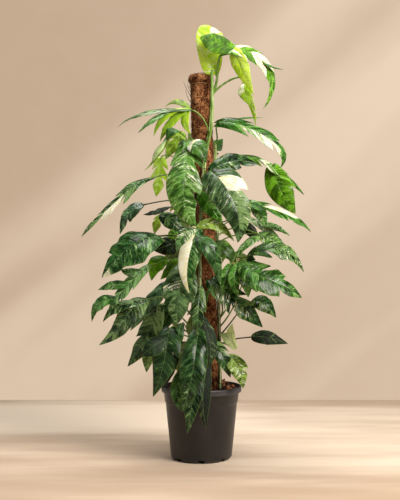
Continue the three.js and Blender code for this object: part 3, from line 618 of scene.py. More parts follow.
def soilLevel(x, y, radius):
    # lumps, crumbs and a low heap beside the pole, which all sink away at the pot's wall
    longX, longY, both = soil["swellWaves"]
    lump = math.sin(x / longX + 1) * math.cos(y / longY) + math.sin((x + y) / both) / 2
    a, b, c, d = soil["crumbWaves"]
    crumb = math.sin(x * a + y * b) + math.sin(y * c - x * d)
    away = math.hypot(x - soil["moundAt"][0], y - soil["moundAt"][1]) / soil["moundRadius"]
    share = min(1, (soil["radius"] - radius) / soil["edge"])
    level = soil["height"] + soil["swell"] * (1 + lump) / 3 * share + crumb * soil["crumbs"] * share
    return level + soil["mound"] * math.exp(-away * away) * share


def scatterChips(bed, material):
    # bark chips over the top of the soil, inside the pot's wall
    graph = Growth("barkChips", Count=chips["count"], Size=chips["size"] * mm, Seed=chips["seed"],
                   Material=material)
    x, y, z = graph.split(graph.add("GeometryNodeInputPosition"))
    radius = graph.add("ShaderNodeVectorMath", {"operation": "LENGTH"}, {0: graph.join(x, y, 0.0)}, 1)
    top = radius.below(chips["within"]) * z.over(chips["above"])
    spread = graph.add("GeometryNodeDistributePointsOnFaces", {}, {
        "Mesh": graph.input("Geometry"), "Density": top * graph.input("Count") / chips["area"],
        "Seed": graph.input("Seed")})
    block = graph.add("GeometryNodeMeshCube", {}, {"Size": chips["block"], "Vertices X": 3, "Vertices Y": 3})
    bite = graph.noise(graph.add("GeometryNodeInputPosition"), *chips["bites"], output=1)
    bite = graph.add("ShaderNodeVectorMath", {"operation": "SUBTRACT"}, {0: bite, 1: (0.5, 0.5, 0.5)})
    bite = graph.resized(bite, chips["bite"])
    chip = graph.add("GeometryNodeSetPosition", {}, {"Geometry": block, "Offset": bite})
    tilt, turn = chips["tilt"], chips["turn"]
    spin = graph.random((-tilt, -tilt, -turn), (tilt, tilt, turn), chips["turnSeed"])
    size = graph.random(*chips["sizes"], chips["sizeSeed"]) * graph.input("Size")
    loose = graph.add("GeometryNodeInstanceOnPoints", {}, {
        "Points": spread, "Instance": chip, "Rotation": spin, "Scale": size})
    return graph.run(bed, graph.together(loose, graph.input("Geometry")))


def makeSoil():
    bark = makeBarkMix()
    top = [(soil["radius"] * (1 - i / soil["rings"]), soilLevel) for i in range(soil["rings"] + 1)]
    bed = turnProfile("bark_soil", soil["foot"] + top, soil["sides"], bark)
    settle(scatterChips(bed, bark), "soil", "soil")


# Leaves

blade = {
    "thickness": 0.8, "marginThickness": 0.45, "start": 0.07, "taper": 0.6, "fullness": 0.85,
    "fold": 10, "curl": 0.28, "sweep": 0.25, "sweepCurve": 1.3, "heel": 0.04, "heelShare": 0.12,
    "waves": 2, "waveHeight": 0.05, "wavePhase": 0.37, "stations": 32,
    "shoulder": 0.02, "rounding": 0.15, "roundness": 0.75,
    # side veins, with the height, count and seed of what makes them uneven
    "veinSpacing": 16, "fewestVeins": 5, "veinDrift": ((0.35, 11, 1), (0.2, 23, 2)),
    "quilting": 0.016, "quiltChange": (0.6, 0.4, 7), "ruffle": 0.03, "ruffles": 5,
    "billow": 0.075, "billowsAlong": (9, 17), "billowsAcross": (2.4, 5), "fineBillow": 0.5,
    "ribDepth": 0.45, "ribWidth": 0.026, "ribFade": 0.75, "keel": 0.9, "keelPerWidth": 0.012,
    "stalk": 1.8, "stalkPerWidth": 0.008, "markEdge": 0.05,
    # the grid: places along the blade and across it, with more of them beside a slash
    "columns": 24, "columnsPerVein": 5, "leastColumn": 0.0015,
    "besideSlash": (-0.02, -0.01, -0.003, 0, 0.003, 0.01, 0.025, 0.05, 0.08, 0.15),
    "rows": (0, 0.025, 0.06, 0.14, 0.26, 0.4, 0.55, 0.7, 0.84, 0.94, 1),
}
tones = {
    "lime": (152, 190, 40), "fresh": (88, 142, 18), "mid": (46, 98, 18), "dark": (16, 50, 11),
    "grey": (42, 78, 36), "olive": (116, 142, 34), "blue": (32, 54, 42), "black": (9, 26, 8),
    "pale": (184, 204, 144), "light": (68, 112, 42), "slate": (54, 80, 50),
}
leaves = []


def leaf(name, stem, height, rib, face, width, tone, cuts=(), stalk=None, light=1, **marks):
    # rib is the line of the midrib, face the way the upper side looks, cuts are place, right and left depth,
    # light makes the tone paler or darker, partly the leaf's own tone and partly painted light that pales
    # leaves lying in shade and darkens some sunlit ones; a mark is one strength, or a list of side, from, to
    # and strength
    marks = {kind: mark if isinstance(mark, list) else [(0, 0, 1, mark)] for kind, mark in marks.items()}
    leaves.append({"name": name, "stem": stem, "height": height, "rib": [np.array(p, float) for p in rib],
                   "face": np.array(face, float), "width": width, "tone": tone, "light": light, "cuts": cuts,
                   "stalk": stalk or blade["stalk"] + blade["stalkPerWidth"] * width, "marks": marks,
                   "seed": len(leaves) * 3.7 % 61})


def lobe(name, parent, at, rib, face, width, tone, cuts=(), **marks):
    # a finger of a divided blade, which springs from its parent's midrib
    base = next(other for other in leaves if other["name"] == parent)
    start = through(base["rib"], np.array(at))
    leaf(name, base["stem"], None, [start] + list(rib), face, width, tone, cuts, **marks)


def through(points, u):
    # the smooth curve that passes through evenly spaced points, at every u
    last = len(points) - 1
    total = 0
    for i, point in enumerate(points):
        weight = 1
        for j in range(len(points)):
            if j != i:
                weight = weight * (u * last - j) / (i - j)
        total = total + weight[..., None] * point
    return total


def unit(vectors):
    return vectors / np.maximum(np.linalg.norm(vectors, axis=-1, keepdims=True), 1e-9)


def upright(normals, tangents):
    return unit(normals - tangents * np.sum(normals * tangents, axis=-1, keepdims=True))


def ribTangent(points, u):
    return unit(through(points, u + 0.01) - through(points, u - 0.01))


def ribNormals(points, face):
    # the upper side's direction at stations along the rib, carried outward from the middle
    count = blade["stations"]
    tangents = ribTangent(points, np.arange(count + 1) / count)
    normals = np.zeros((count + 1, 3))
    middle = count // 2
    normals[middle] = upright(face, tangents[middle])
    for i in range(middle + 1, count + 1):
        normals[i] = upright(normals[i - 1], tangents[i])
    for i in range(middle - 1, -1, -1):
        normals[i] = upright(normals[i + 1], tangents[i])
    return normals


def halfWidth(item, a):
    start = blade["start"]
    arch = np.sin(np.pi * (start + (1 - start) * a ** blade["taper"]))
    return item["width"] / 2 * arch ** blade["fullness"]


def reach(item, a, side):
    # how far the blade reaches from the rib to the margin, where slashes cut into it
    result = np.ones_like(a)
    for place, right, left in item["cuts"]:
        before = (place - a) / blade["shoulder"]
        after = (a - place) / blade["rounding"]
        share = np.where((before >= 0) & (before < 1), before, 1)
        rounded = np.clip(after, 0, 1) ** blade["roundness"]
        share = np.where((after > 0) & (after < 1), rounded, share)
        result = np.minimum(result, 1 - (right if side > 0 else left) * (1 - share))
    return result


def veinCount(item, a, veins):
    # how many side veins have left the rib before a; they aren't quite evenly spaced
    count = veins * a
    for height, turns, share in blade["veinDrift"]:
        count = count + height * np.sin(turns * a + share * item["seed"])
    return count


def bladeSurface(item, normals, a, b, side, veins):
    # the blade's middle surface: a follows the rib and b runs from the rib to the margin
    seed = item["seed"]
    half = halfWidth(item, a)
    heel = np.exp(-a / blade["heelShare"])
    swept = blade["sweep"] * (1 - a) * (1 - heel) - blade["heel"] * heel
    u = np.minimum(a + swept * b ** blade["sweepCurve"], 1)
    station = np.maximum(u, 0) * blade["stations"]
    index = np.minimum(station.astype(int), blade["stations"] - 1)
    share = (station - index)[..., None]
    tangent = ribTangent(item["rib"], u)
    normal = upright(normals[index] * (1 - share) + normals[index + 1] * share, tangent)
    across = np.cross(normal, tangent) * side
    fold = math.radians(blade["fold"])
    phase = item["width"] * blade["wavePhase"] + side
    rise = b * math.sin(fold) - blade["curl"] * b * b
    rise = rise + blade["waveHeight"] * np.sin(2 * np.pi * blade["waves"] * a + phase) * b * b
    steady, change, turns = blade["quiltChange"]
    quilt = np.abs(np.sin(np.pi * veinCount(item, a, veins)))
    quilt = quilt * (steady + change * np.sin(turns * a + seed * 2))
    rise = rise + blade["quilting"] * quilt * np.minimum(4 * b * (1 - b), 1)
    rise = rise + blade["ruffle"] * np.sin(2 * np.pi * blade["ruffles"] * a + phase * 2) * b ** 3
    (broad, fine), (wide, narrow) = blade["billowsAlong"], blade["billowsAcross"]
    swell = np.sin(broad * a + phase * 3) * np.sin(wide * b + seed)
    swell = swell + blade["fineBillow"] * np.sin(fine * a + narrow * b + seed)
    rise = rise + blade["billow"] * swell * b
    level = through(item["rib"], u) + across * (half * b * math.cos(fold))[..., None]
    return level + normal * (half * rise)[..., None]


def bladeColumns(item, veins):
    columns = list(np.linspace(0, 1, max(blade["columns"], blade["columnsPerVein"] * veins) + 1))
    for cut in item["cuts"]:
        columns += [cut[0] + step for step in blade["besideSlash"]]
    columns = sorted(columns)
    kept = [a for a, after in zip(columns, columns[1:]) if after - a > blade["leastColumn"]]
    return np.array(kept + [1.0])


def window(a, start, end):
    # 1 from start to end along the blade, with soft ends
    soft = blade["markEdge"]
    return np.clip((a - start) / soft + 0.5, 0, 1) * np.clip((end - a) / soft + 0.5, 0, 1)


def marksAt(item, a, side):
    # how strongly a point is marked with cream, with pale green and with deep green
    marks = []
    for kind in ("cream", "pale", "deep"):
        total = np.zeros_like(a)
        for which, start, end, amount in item["marks"].get(kind, ()):
            if which in (0, side):
                total = total + amount * window(a, start, end)
        marks.append(total)
    return np.stack(marks, axis=-1)


def bladeSheet(item, length, veins):
    # the middle surface as a grid, first the rib and then both halves: points, faces and three values of
    # each point, which are its vein and share of the way out, its place in millimetres and its marks
    normals = ribNormals(item["rib"], item["face"])
    columns = bladeColumns(item, veins)
    rows = np.array(blade["rows"])
    count, last = len(columns) - 1, len(rows) - 1
    rib = np.zeros_like(columns)
    points = [bladeSurface(item, normals, columns, rib, 1, veins)]
    share = [np.stack([veinCount(item, columns, veins), rib], axis=-1)]
    place = [np.stack([columns * length, rib], axis=-1)]
    marks = [(marksAt(item, columns, 1) + marksAt(item, columns, -1)) / 2]
    faces = []
    for order, side in enumerate((1, -1)):
        a = np.repeat(columns[:-1, None], last, axis=1)
        b = rows[None, 1:] * reach(item, columns[:-1], side)[:, None]
        points.append(bladeSurface(item, normals, a, b, side, veins).reshape(-1, 3))
        share.append(np.stack([veinCount(item, a, veins), b], axis=-1).reshape(-1, 2))
        place.append(np.stack([a * length, b * side * halfWidth(item, a)], axis=-1).reshape(-1, 2))
        marks.append(marksAt(item, a, side).reshape(-1, 3))
        first = count + 1 + order * count * last

        def spot(i, j):
            return i if j == 0 or i == count else first + i * last + j - 1

        for i in range(count):
            for j in range(last):
                face = [spot(i, j), spot(i + 1, j), spot(i + 1, j + 1), spot(i, j + 1)]
                if i == count - 1:
                    face = [face[0], face[1], face[3]]
                faces.append(face if side > 0 else face[::-1])
    points, share, place, marks = (np.concatenate(part) for part in (points, share, place, marks))
    return points, faces, share, place, marks


def pointFacings(points, faces):
    corners = np.array([face if len(face) == 4 else face + face[-1:] for face in faces])
    diagonals = points[corners[:, 2]] - points[corners[:, 0]], points[corners[:, 3]] - points[corners[:, 1]]
    turned = np.cross(*diagonals)
    facing = np.zeros_like(points)
    for corner in range(4):
        np.add.at(facing, corners[:, corner], turned)
    return unit(facing)


def makeBlade(item):
    # one closed shell: points, faces and the values that the material reads
    rib = through(item["rib"], np.linspace(0, 1, 20))
    length = np.sum(np.linalg.norm(np.diff(rib, axis=0), axis=1))
    veins = max(blade["fewestVeins"], round(length / blade["veinSpacing"]))
    points, faces, share, place, marks = bladeSheet(item, length, veins)
    facing = pointFacings(points, faces)
    b = share[:, 1]
    near = np.exp(-(b / blade["ribWidth"]) ** 2) * (1 - blade["ribFade"] * share[:, 0] / veins)
    half = (blade["thickness"] + (blade["marginThickness"] - blade["thickness"]) * b) / 2
    keel = blade["keel"] + blade["keelPerWidth"] * item["width"]
    top = points + facing * (half - blade["ribDepth"] * near)[:, None]
    under = points - facing * (half + keel * near)[:, None]
    total = len(points)
    edges = {(p, q) for face in faces for p, q in zip(face, face[1:] + face[:1])}
    rim = [[p, p + total, q + total, q] for p, q in sorted(edges) if (q, p) not in edges]
    faces = faces + [[p + total for p in face[::-1]] for face in faces] + rim
    values = {
        "leafShare": np.concatenate([np.c_[share, np.zeros(total)], np.c_[share, np.ones(total)]]),
        "leafPlace": np.tile(np.c_[place, np.full(total, item["seed"])], (2, 1)),
        "marks": np.tile(marks, (2, 1)),
        # the tone times light, which is partly painted light
        "tone": np.tile(np.array(rgb(*tones[item["tone"]])) * item["light"], (total * 2, 1)),
    }
    return np.concatenate([top, under]), faces, values


def makeBlades(stem, material):
    points, faces, values = [], [], {}
    total = 0
    for item in leaves:
        if item["stem"] != stem:
            continue
        bladePoints, bladeFaces, bladeValues = makeBlade(item)
        points.append(bladePoints)
        faces += [[corner + total for corner in face] for face in bladeFaces]
        for key, value in bladeValues.items():
            values.setdefault(key, []).append(value)
        total += len(bladePoints)
    piece = newMesh(f"{stem}_blades", (np.concatenate(points) * mm).tolist(), faces, material)
    for key, parts in values.items():
        kind, field = ("FLOAT_COLOR", "color") if key == "tone" else ("FLOAT_VECTOR", "vector")
        attribute = piece.data.attributes.new(key, kind, "POINT")
        attribute.data.foreach_set(field, np.concatenate(parts).astype(np.float32).ravel())
    return piece


# a leaf has its name, stem, height on it, midrib, face, width and tone
# a lobe names its parent leaf and its place on that one's midrib in place of stem and height
# crown_back: pale green on its lower half is painted light where it lies in shade, and deep green on its
# upper half is painted shade where the key light falls
leaf("crown_back", "tall", 1050,
     [(35, -45, 1290), (31, -50, 1350), (28, -52, 1415), (33, -35, 1447), (44, -5, 1440)], (0.1, -0.95, 0.3),
     94, "lime", stalk=4, cream=[(-1, 0.5, 0.86, 1.3), (0, 0, 0.45, 0.38)],
     pale=[(0, 0, 0.55, 0.6), (0, 0.5, 1, 0.1)], deep=[(0, 0.45, 1, 0.45)], light=1.75)
leaf("crown_arch", "tall", 1230,
     [(65, -85, 1350), (135, -110, 1355), (200, -100, 1320), (235, -75, 1255), (205, -55, 1170)],
     (0.15, -0.75, 0.65), 70, "fresh", cuts=[(0.34, 0.35, 0.2)], stalk=4,
     cream=[(0, 0.12, 0.2, 1), (1, 0.33, 0.58, 1.1), (-1, 0.33, 0.56, 0.62)],
     pale=[(0, 0.6, 1, 0.6), (0, 0, 0.12, 0.6)], deep=[(0, 0.22, 0.33, 0.8)])
lobe("crown_wing", "crown_arch", 0.14, [(40, -105, 1382), (-5, -110, 1396)], (0, -1, 0.35), 72, "fresh",
     pale=[(0, 0.7, 1, 0.35)], deep=[(0, 0, 0.8, 0.7)], light=0.8)
lobe("crown_hang", "crown_arch", 0.14, [(125, -115, 1305), (170, -100, 1210)], (-0.6, -0.75, 0.2), 60, "lime",
     cream=[(1, 0, 1, 0.3)], pale=[(0, 0, 1, 0.5), (1, 0, 1, 0.5)], light=1.9)
lobe("crown_tip", "crown_arch", 0.5, [(225, -100, 1305), (270, -85, 1295)], (0, -0.5, 0.9), 22, "mid",
     deep=0.5)
leaf("crown_low", "tall", 1225, [(140, -60, 1270), (150, -75, 1225), (168, -75, 1170), (180, -65, 1115)],
     (-0.7, -0.7, 0), 30, "lime", stalk=3.5, cream=[(1, 0, 1, 0.5), (0, 0, 0.25, 0.5)], pale=0.4, light=1.5)
lobe("crown_low_lobe", "crown_low", 0.15, [(143, -85, 1222), (160, -85, 1177)], (-0.3, -0.9, 0.2), 48, "lime",
     cream=[(-1, 0, 0.5, 0.6)], pale=0.4)
leaf("left_straps", "tall", 1060,
     [(-35, -90, 1165), (-110, -110, 1160), (-200, -110, 1145), (-275, -90, 1105)], (-0.1, -0.45, 0.9), 45,
     "grey", cream=[(0, 0.3, 1, 0.28)], pale=0.6, light=0.5)
lobe("strap_dark", "left_straps", 0.28, [(-155, -135, 1125), (-205, -140, 1080)], (-0.3, -0.6, 0.6), 28,
     "grey", cream=0.2, pale=0.4, light=2.2)
lobe("strap_lime_1", "left_straps", 0.12, [(-120, -125, 1135), (-155, -130, 1070)], (-0.4, -0.8, 0.4), 30,
     "lime")
lobe("strap_lime_2", "left_straps", 0.06, [(-100, -110, 1120), (-135, -115, 1055)], (-0.4, -0.8, 0.4), 38,
     "lime", pale=0.4)
lobe("strap_lime_3", "left_straps", 0.02, [(-55, -105, 1125), (-35, -110, 1080)], (-0.4, -0.9, 0), 30, "lime",
     pale=0.4, light=1.3)
lobe("strap_back", "left_straps", 0.03, [(-80, -60, 1195), (-120, -45, 1180)], (-0.2, -0.7, 0.7), 28, "lime",
     deep=0.6, light=0.5)
leaf("left_fold", "front", 1040,
     [(-60, -110, 1080), (-100, -135, 1075), (-135, -140, 1020), (-185, -130, 960)], (-0.6, -0.6, 0.5), 30,
     "olive", pale=0.5)
lobe("fold_top", "left_fold", 0.1, [(-95, -150, 1089), (-114, -150, 1056)], (-0.5, -0.8, 0.3), 48, "mid",
     deep=0.6)
lobe("fold_strap", "left_fold", 0.45, [(-143, -145, 1018), (-160, -140, 986)], (-0.5, -0.8, 0.3), 24, "pale",
     pale=0.5)
leaf("lime_left_1", "left", 1010, [(-60, -25, 1095), (-90, -35, 1060), (-120, -35, 1005)], (-0.3, -0.9, 0.2),
     58, "lime", cuts=[(0.35, 0.7, 0.7)], pale=0.4, deep=0.3, light=0.6)
leaf("lime_left_2", "back_left", 960, [(-140, 60, 1020), (-145, 50, 955), (-155, 45, 885)],
     (-0.2, -0.95, 0.1), 62, "lime", cuts=[(0.2, 0.75, 0.75), (0.5, 0.75, 0.75)], cream=0.3, pale=0.5,
     light=1.2)
leaf("front_upper", "front", 990, [(-45, -120, 1055), (-50, -180, 950), (-55, -195, 860), (-15, -190, 775)],
     (0, -0.95, 0.25), 120, "light", cuts=[(0.16, 0.75, 0.2), (0.5, 0.7, 0)],
     cream=[(1, 0.2, 0.5, 0.4), (-1, 0.04, 0.34, 0.34), (0, 0.6, 0.95, 0.28)], pale=0.4)
lobe("front_upper_lobe", "front_upper", 0.05, [(-11, -160, 1033), (15, -165, 981)], (0.15, -0.95, 0.25), 64,
     "light", cream=[(0, 0, 0.22, 0.8)], pale=0.2, light=0.8)
leaf("front_right", "tall", 900, [(25, -120, 960), (65, -175, 920), (110, -200, 835), (115, -195, 725)],
     (-0.1, -0.85, 0.5), 130, "slate", cuts=[(0.42, 0.5, 0)],
     cream=[(1, 0.24, 0.46, 0.78), (1, 0.46, 0.85, 0.3), (-1, 0.1, 0.6, 0.27)],
     pale=[(0, 0, 1, 0.22), (1, 0.42, 0.85, 0.45)])
lobe("front_right_wing", "front_right", 0.05, [(100, -130, 990), (185, -115, 980)], (0, -0.85, 0.5), 72,
     "dark", cuts=[(0.6, 0, 0.5)], cream=[(-1, 0.3, 0.5, 0.3)], pale=[(-1, 0, 1, 0.36), (1, 0, 1, 0.2)])
leaf("right_arch", "right", 970, [(115, -20, 1015), (200, -40, 1000), (280, -45, 950), (345, -35, 885)],
     (0.2, -0.45, 0.85), 70, "fresh", cuts=[(0.25, 0.2, 0.7), (0.62, 0.5, 0.6)],
     cream=[(0, 0.3, 0.4, 0.62), (0, 0.4, 0.6, 0.36)], pale=[(0, 0.25, 0.65, 0.55), (0, 0.65, 1, 0.3)],
     light=0.55)
lobe("arch_hang", "right_arch", 0.47, [(261, -78, 900), (311, -74, 822)], (-0.1, -0.95, -0.2), 88, "fresh",
     pale=0.22, light=0.8)
leaf("right_upper", "right", 1060,
     [(50, -40, 1125), (120, -60, 1120), (200, -60, 1085), (265, -50, 1035), (262, -40, 975)],
     (0.1, -0.8, 0.55), 66, "mid", cuts=[(0.26, 0.6, 0.75), (0.6, 0.5, 0.75)],
     cream=[(-1, 0.26, 0.5, 0.52), (-1, 0.5, 0.74, 0.95)], pale=[(0, 0, 1, 0.35), (-1, 0.24, 0.8, 0.6)])
lobe("upper_far", "right_upper", 0.03, [(130, -15, 1145), (210, 5, 1150)], (0, -0.35, 0.9), 28, "mid")
leaf("behind_pole", "back_right", 1020, [(15, 70, 1050), (45, 85, 1060), (75, 95, 1090)], (0.1, -0.9, 0.3),
     60, "mid", cuts=[(0.35, 0.6, 0.6)], deep=0.3)
leaf("right_mid", "right", 850, [(145, -80, 865), (215, -110, 840), (295, -110, 810), (360, -95, 760)],
     (0.1, -0.6, 0.8), 62, "mid", cuts=[(0.24, 0.85, 0.8), (0.55, 0, 0.4)], cream=[(1, 0.28, 0.72, 0.85)],
     pale=0.35)
lobe("mid_hang", "right_mid", 0.06, [(190, -110, 825), (210, -110, 775)], (-0.3, -0.9, 0.2), 45, "grey",
     cream=0.35, pale=0.5, light=2.6)
leaf("right_low_dark", "back_right", 740, [(153, -20, 813), (222, -45, 769), (282, -45, 712)],
     (0.1, -0.5, 0.85), 50, "slate", cream=0.44, pale=0.5, light=2.8)
lobe("low_side_green", "right_low_dark", 0.3, [(249, -40, 779), (296, -35, 749)], (0.1, -0.6, 0.8), 36,
     "grey", cream=0.35, pale=0.45, light=2.6)
leaf("low_side_marbled", "right", 745, [(190, -78, 755), (236, -84, 732), (279, -80, 699)], (0.1, -0.75, 0.6),
     62, "light", cream=0.3, pale=0.5)
leaf("mid_behind", "tall", 840, [(-5, -70, 890), (30, -85, 845), (70, -80, 790)], (0, -0.95, 0.3), 60, "mid",
     cream=0.15, pale=0.4, light=1.7)
leaf("right_stripe", "right", 720, [(200, -95, 750), (150, -140, 725), (95, -145, 660)], (-0.3, -0.7, 0.6),
     34, "mid", cream=0.3, pale=0.5, light=0.8)
leaf("right_arch_low", "right", 660, [(150, -130, 680), (205, -165, 705), (275, -170, 695), (330, -150, 630)],
     (0.2, -0.7, 0.7), 84, "mid", cuts=[(0.1, 0.5, 0.6), (0.32, 0.85, 0.85)], cream=[(0, 0.5, 1, 0.3)],
     pale=[(0, 0.45, 1, 0.5), (0, 0, 0.45, 0.15)], light=0.4)
leaf("right_broad", "right", 580, [(143, -150, 663), (183, -190, 623), (246, -195, 594), (321, -175, 549)],
     (0.1, -0.8, 0.55), 116, "mid", cuts=[(0.3, 0.75, 0.1), (0.66, 0.45, 0.55)],
     cream=[(0, 0.1, 0.3, 0.2), (0, 0.3, 1, 0.14)], pale=0.32, light=0.72)
leaf("right_hang", "right", 440, [(125, -140, 660), (105, -165, 610), (120, -160, 550)], (-0.1, -0.95, 0.3),
     42, "mid", pale=0.4)
leaf("right_hang_2", "right", 470, [(95, -120, 655), (80, -145, 615), (65, -140, 565)], (0.1, -0.95, 0.3), 42,
     "mid", pale=0.45)
# mid_dark_1: the cream on its left half is a painted sheen highlight
leaf("mid_dark_1", "right", 470, [(30, -80, 605), (110, -125, 540), (200, -115, 450)], (0.1, -0.85, 0.5), 100,
     "dark", cuts=[(0.22, 0.4, 0.3), (0.45, 0.7, 0.6)], cream=[(-1, 0.1, 0.8, 0.4)], pale=0.34, light=1.5)
leaf("mid_dark_2", "back_right", 440, [(85, 20, 635), (130, 10, 605), (180, 15, 580)], (0.1, -0.8, 0.6), 42,
     "black")
leaf("right_round", "right", 410, [(168, -60, 532), (208, -80, 525), (248, -70, 478)], (0.2, -0.8, 0.55), 65,
     "dark", pale=[(-1, 0, 1, 0.6), (1, 0, 1, 0.2)], light=1.3)
leaf("right_near_pole", "right", 660, [(30, -75, 715), (75, -95, 705), (115, -90, 660)], (0.1, -0.85, 0.5),
     65, "fresh", deep=0.3, light=0.4)
leaf("right_hang_dark", "back_right", 770, [(150, 20, 795), (170, 10, 765), (195, 15, 730)], (0.1, -0.9, 0.4),
     42, "black")
leaf("front_white", "front", 740, [(-15, -150, 775), (-30, -200, 720), (-45, -215, 645), (-35, -205, 560)],
     (-0.1, -0.95, 0.25), 72, "dark", cream=[(-1, 0, 0.97, 1.3)], pale=[(1, 0, 1, 0.5)], light=2.3)
lobe("white_left", "front_white", 0.03, [(-55, -190, 750), (-80, -195, 695)], (-0.3, -0.85, 0.4), 50, "grey",
     cream=[(0, 0, 0.6, 0.44)], pale=0.5, light=1.3)
lobe("white_upper", "front_white", 0.02, [(45, -165, 785), (105, -160, 730)], (0.2, -0.8, 0.6), 48, "olive",
     cream=0.3, pale=0.52)
lobe("white_right", "front_white", 0.22, [(30, -210, 700), (60, -195, 590)], (0.3, -0.9, 0.3), 60, "grey",
     pale=0.25)
leaf("front_grey", "front", 610, [(-50, -140, 655), (-70, -185, 570), (-80, -185, 460)], (-0.1, -0.95, 0.25),
     112, "slate", cuts=[(0.55, 0.3, 0.75)], cream=[(-1, 0.3, 0.45, 0.3), (0, 0, 1, 0.14)], pale=0.32,
     light=1.3)
leaf("front_grey_2", "tall", 530, [(-5, -100, 580), (-10, -135, 505), (-15, -135, 425)], (0, -0.95, 0.25), 50,
     "grey", cuts=[(0.4, 0.5, 0)], cream=[(0, 0, 0.6, 0.24)], pale=0.36, light=0.7)
leaf("pale_wisp", "tall", 520, [(20, -75, 565), (5, -90, 525), (-5, -85, 480)], (-0.3, -0.95, 0.1), 25, "mid",
     pale=0.6)
leaf("front_low", "tall", 400, [(-10, -120, 440), (-20, -180, 365), (-35, -200, 280), (-60, -195, 190)],
     (0.05, -0.95, 0.25), 88, "dark", cuts=[(0.55, 0.5, 0.2)], cream=[(-1, 0.66, 1, 0.22)], pale=0.2)
leaf("front_low_right", "tall", 420, [(0, -90, 480), (25, -115, 420), (30, -125, 365), (20, -125, 315)],
     (0.2, -0.95, 0.2), 50, "dark", cream=[(1, 0.3, 1, 0.2)], pale=[(1, 0, 1, 0.2)], deep=0.7, light=0.5)
leaf("front_low_2", "front", 330, [(0, -120, 335), (-25, -170, 235), (-45, -175, 115)], (0, -0.95, 0.25), 58,
     "dark", cream=[(-1, 0.3, 0.8, 0.2)], pale=0.14, light=0.8)
leaf("pot_front", "tall", 310, [(20, -95, 350), (5, -150, 240), (15, -160, 130)], (0.1, -0.95, 0.2), 55,
     "black", cuts=[(0.45, 0, 0.6)], pale=[(-1, 0.4, 1, 0.2)], deep=1)
leaf("pot_left", "front", 300, [(-60, -110, 315), (-80, -155, 250), (-60, -160, 180)], (-0.1, -0.95, 0.2), 42,
     "dark", pale=0.3, light=2)
leaf("left_long", "left", 930,
     [(-170, -60, 940), (-225, -90, 910), (-275, -100, 865), (-340, -100, 805), (-395, -80, 745)],
     (-0.3, -0.55, 0.75), 68, "grey", cuts=[(0.36, 0.7, 0.7), (0.68, 0.7, 0.7)],
     cream=[(1, 0.42, 0.66, 1.1), (0, 0.2, 1, 0.3)], pale=0.5)
leaf("left_broad", "left", 720, [(-145, -90, 748), (-205, -140, 730), (-265, -150, 681), (-322, -140, 613)],
     (-0.25, -0.7, 0.65), 152, "dark", cuts=[(0.68, 0, 0.45)], cream=[(1, 0.86, 1, 0.7)],
     pale=[(-1, 0, 1, 0.26), (1, 0, 1, 0.5)], light=2)
leaf("left_blue", "back_left", 840, [(-200, 0, 855), (-245, -15, 825), (-275, -10, 755)], (-0.5, -0.8, 0.3),
     58, "blue", cuts=[(0.6, 0.5, 0)], cream=0.24, pale=0.4, light=3)
leaf("left_dark_flat", "back_left", 820, [(-110, -30, 845), (-155, -40, 830), (-195, -35, 820)],
     (-0.2, -0.5, 0.85), 38, "black", deep=1)
leaf("left_mid_dark", "left", 790, [(-135, -70, 820), (-95, -85, 795), (-55, -80, 760)], (0, -0.9, 0.4), 58,
     "dark", cream=0.2, pale=0.36, light=1.2)
leaf("left_round", "left", 700, [(-80, -80, 725), (-115, -105, 715), (-155, -100, 700)], (-0.1, -0.9, 0.4),
     72, "black", pale=0.2)
leaf("left_mid_green", "left", 640, [(-115, -60, 670), (-150, -75, 655), (-165, -70, 600)], (-0.2, -0.9, 0.4),
     62, "fresh", deep=0.3, light=1.3)
leaf("left_mid_green_2", "left", 620, [(-65, -80, 670), (-95, -95, 645), (-135, -90, 605)], (-0.1, -0.8, 0.6),
     52, "fresh", deep=0.3)
leaf("left_pinnate", "left", 590,
     [(-175, -100, 650), (-224, -140, 602), (-269, -150, 551), (-302, -140, 502)], (-0.3, -0.75, 0.6), 54,
     "slate", cuts=[(0.3, 0.3, 0.3), (0.6, 0.4, 0.4)], cream=0.22, pale=0.45, light=3)
lobe("pinnate_lobe_1", "left_pinnate", 0.12, [(-232, -130, 631), (-262, -120, 640)], (-0.3, -0.75, 0.6), 36,
     "slate", cream=0.15, pale=0.4, light=2.2)
lobe("pinnate_lobe_2", "left_pinnate", 0.42, [(-289, -140, 589), (-336, -125, 572)], (-0.3, -0.75, 0.6), 38,
     "grey", cream=0.14, pale=0.42, light=1.9)
lobe("pinnate_lobe_3", "left_pinnate", 0.72, [(-334, -140, 527), (-356, -125, 468)], (-0.3, -0.75, 0.6), 50,
     "grey", cream=0.1, pale=0.4, light=2)
leaf("left_blue_low", "back_left", 570, [(-120, 0, 590), (-170, -20, 525), (-240, -15, 430)],
     (-0.5, -0.8, 0.2), 62, "blue", cream=0.2, pale=0.3, light=3.2)
leaf("left_notched", "left", 520, [(-176, -90, 541), (-218, -140, 518), (-260, -145, 460), (-333, -125, 393)],
     (-0.25, -0.75, 0.6), 88, "slate", cuts=[(0.3, 0.25, 0)], cream=0.24, pale=0.42, light=0.8)
lobe("notched_lobe", "left_notched", 0.24, [(-273, -145, 518), (-319, -135, 469)], (-0.25, -0.75, 0.6), 44,
     "dark", cream=0.15, pale=0.4)
leaf("left_dark_in", "left", 470, [(-95, -35, 545), (-110, -45, 490), (-130, -45, 430)], (-0.2, -0.95, 0.2),
     65, "dark")
leaf("left_low_dark", "left", 430, [(-145, -50, 515), (-180, -65, 420), (-245, -60, 315)],
     (-0.35, -0.85, 0.4), 85, "slate", cuts=[(0.5, 0, 0.5)], pale=[(1, 0, 0.35, 0.6), (0, 0, 1, 0.3)],
     light=0.8)
leaf("left_low_big", "front", 400,
     [(-103, -100, 447), (-111, -148, 396), (-123, -165, 330), (-156, -155, 229)], (-0.1, -0.95, 0.3), 96,
     "dark", cuts=[(0.4, 0.55, 0)], pale=0.2, deep=0.3)
lobe("low_big_lobe", "left_low_big", 0.18, [(-155, -165, 391), (-194, -160, 362)], (-0.1, -0.95, 0.3), 62,
     "dark", pale=0.14, deep=0.7, light=0.7)
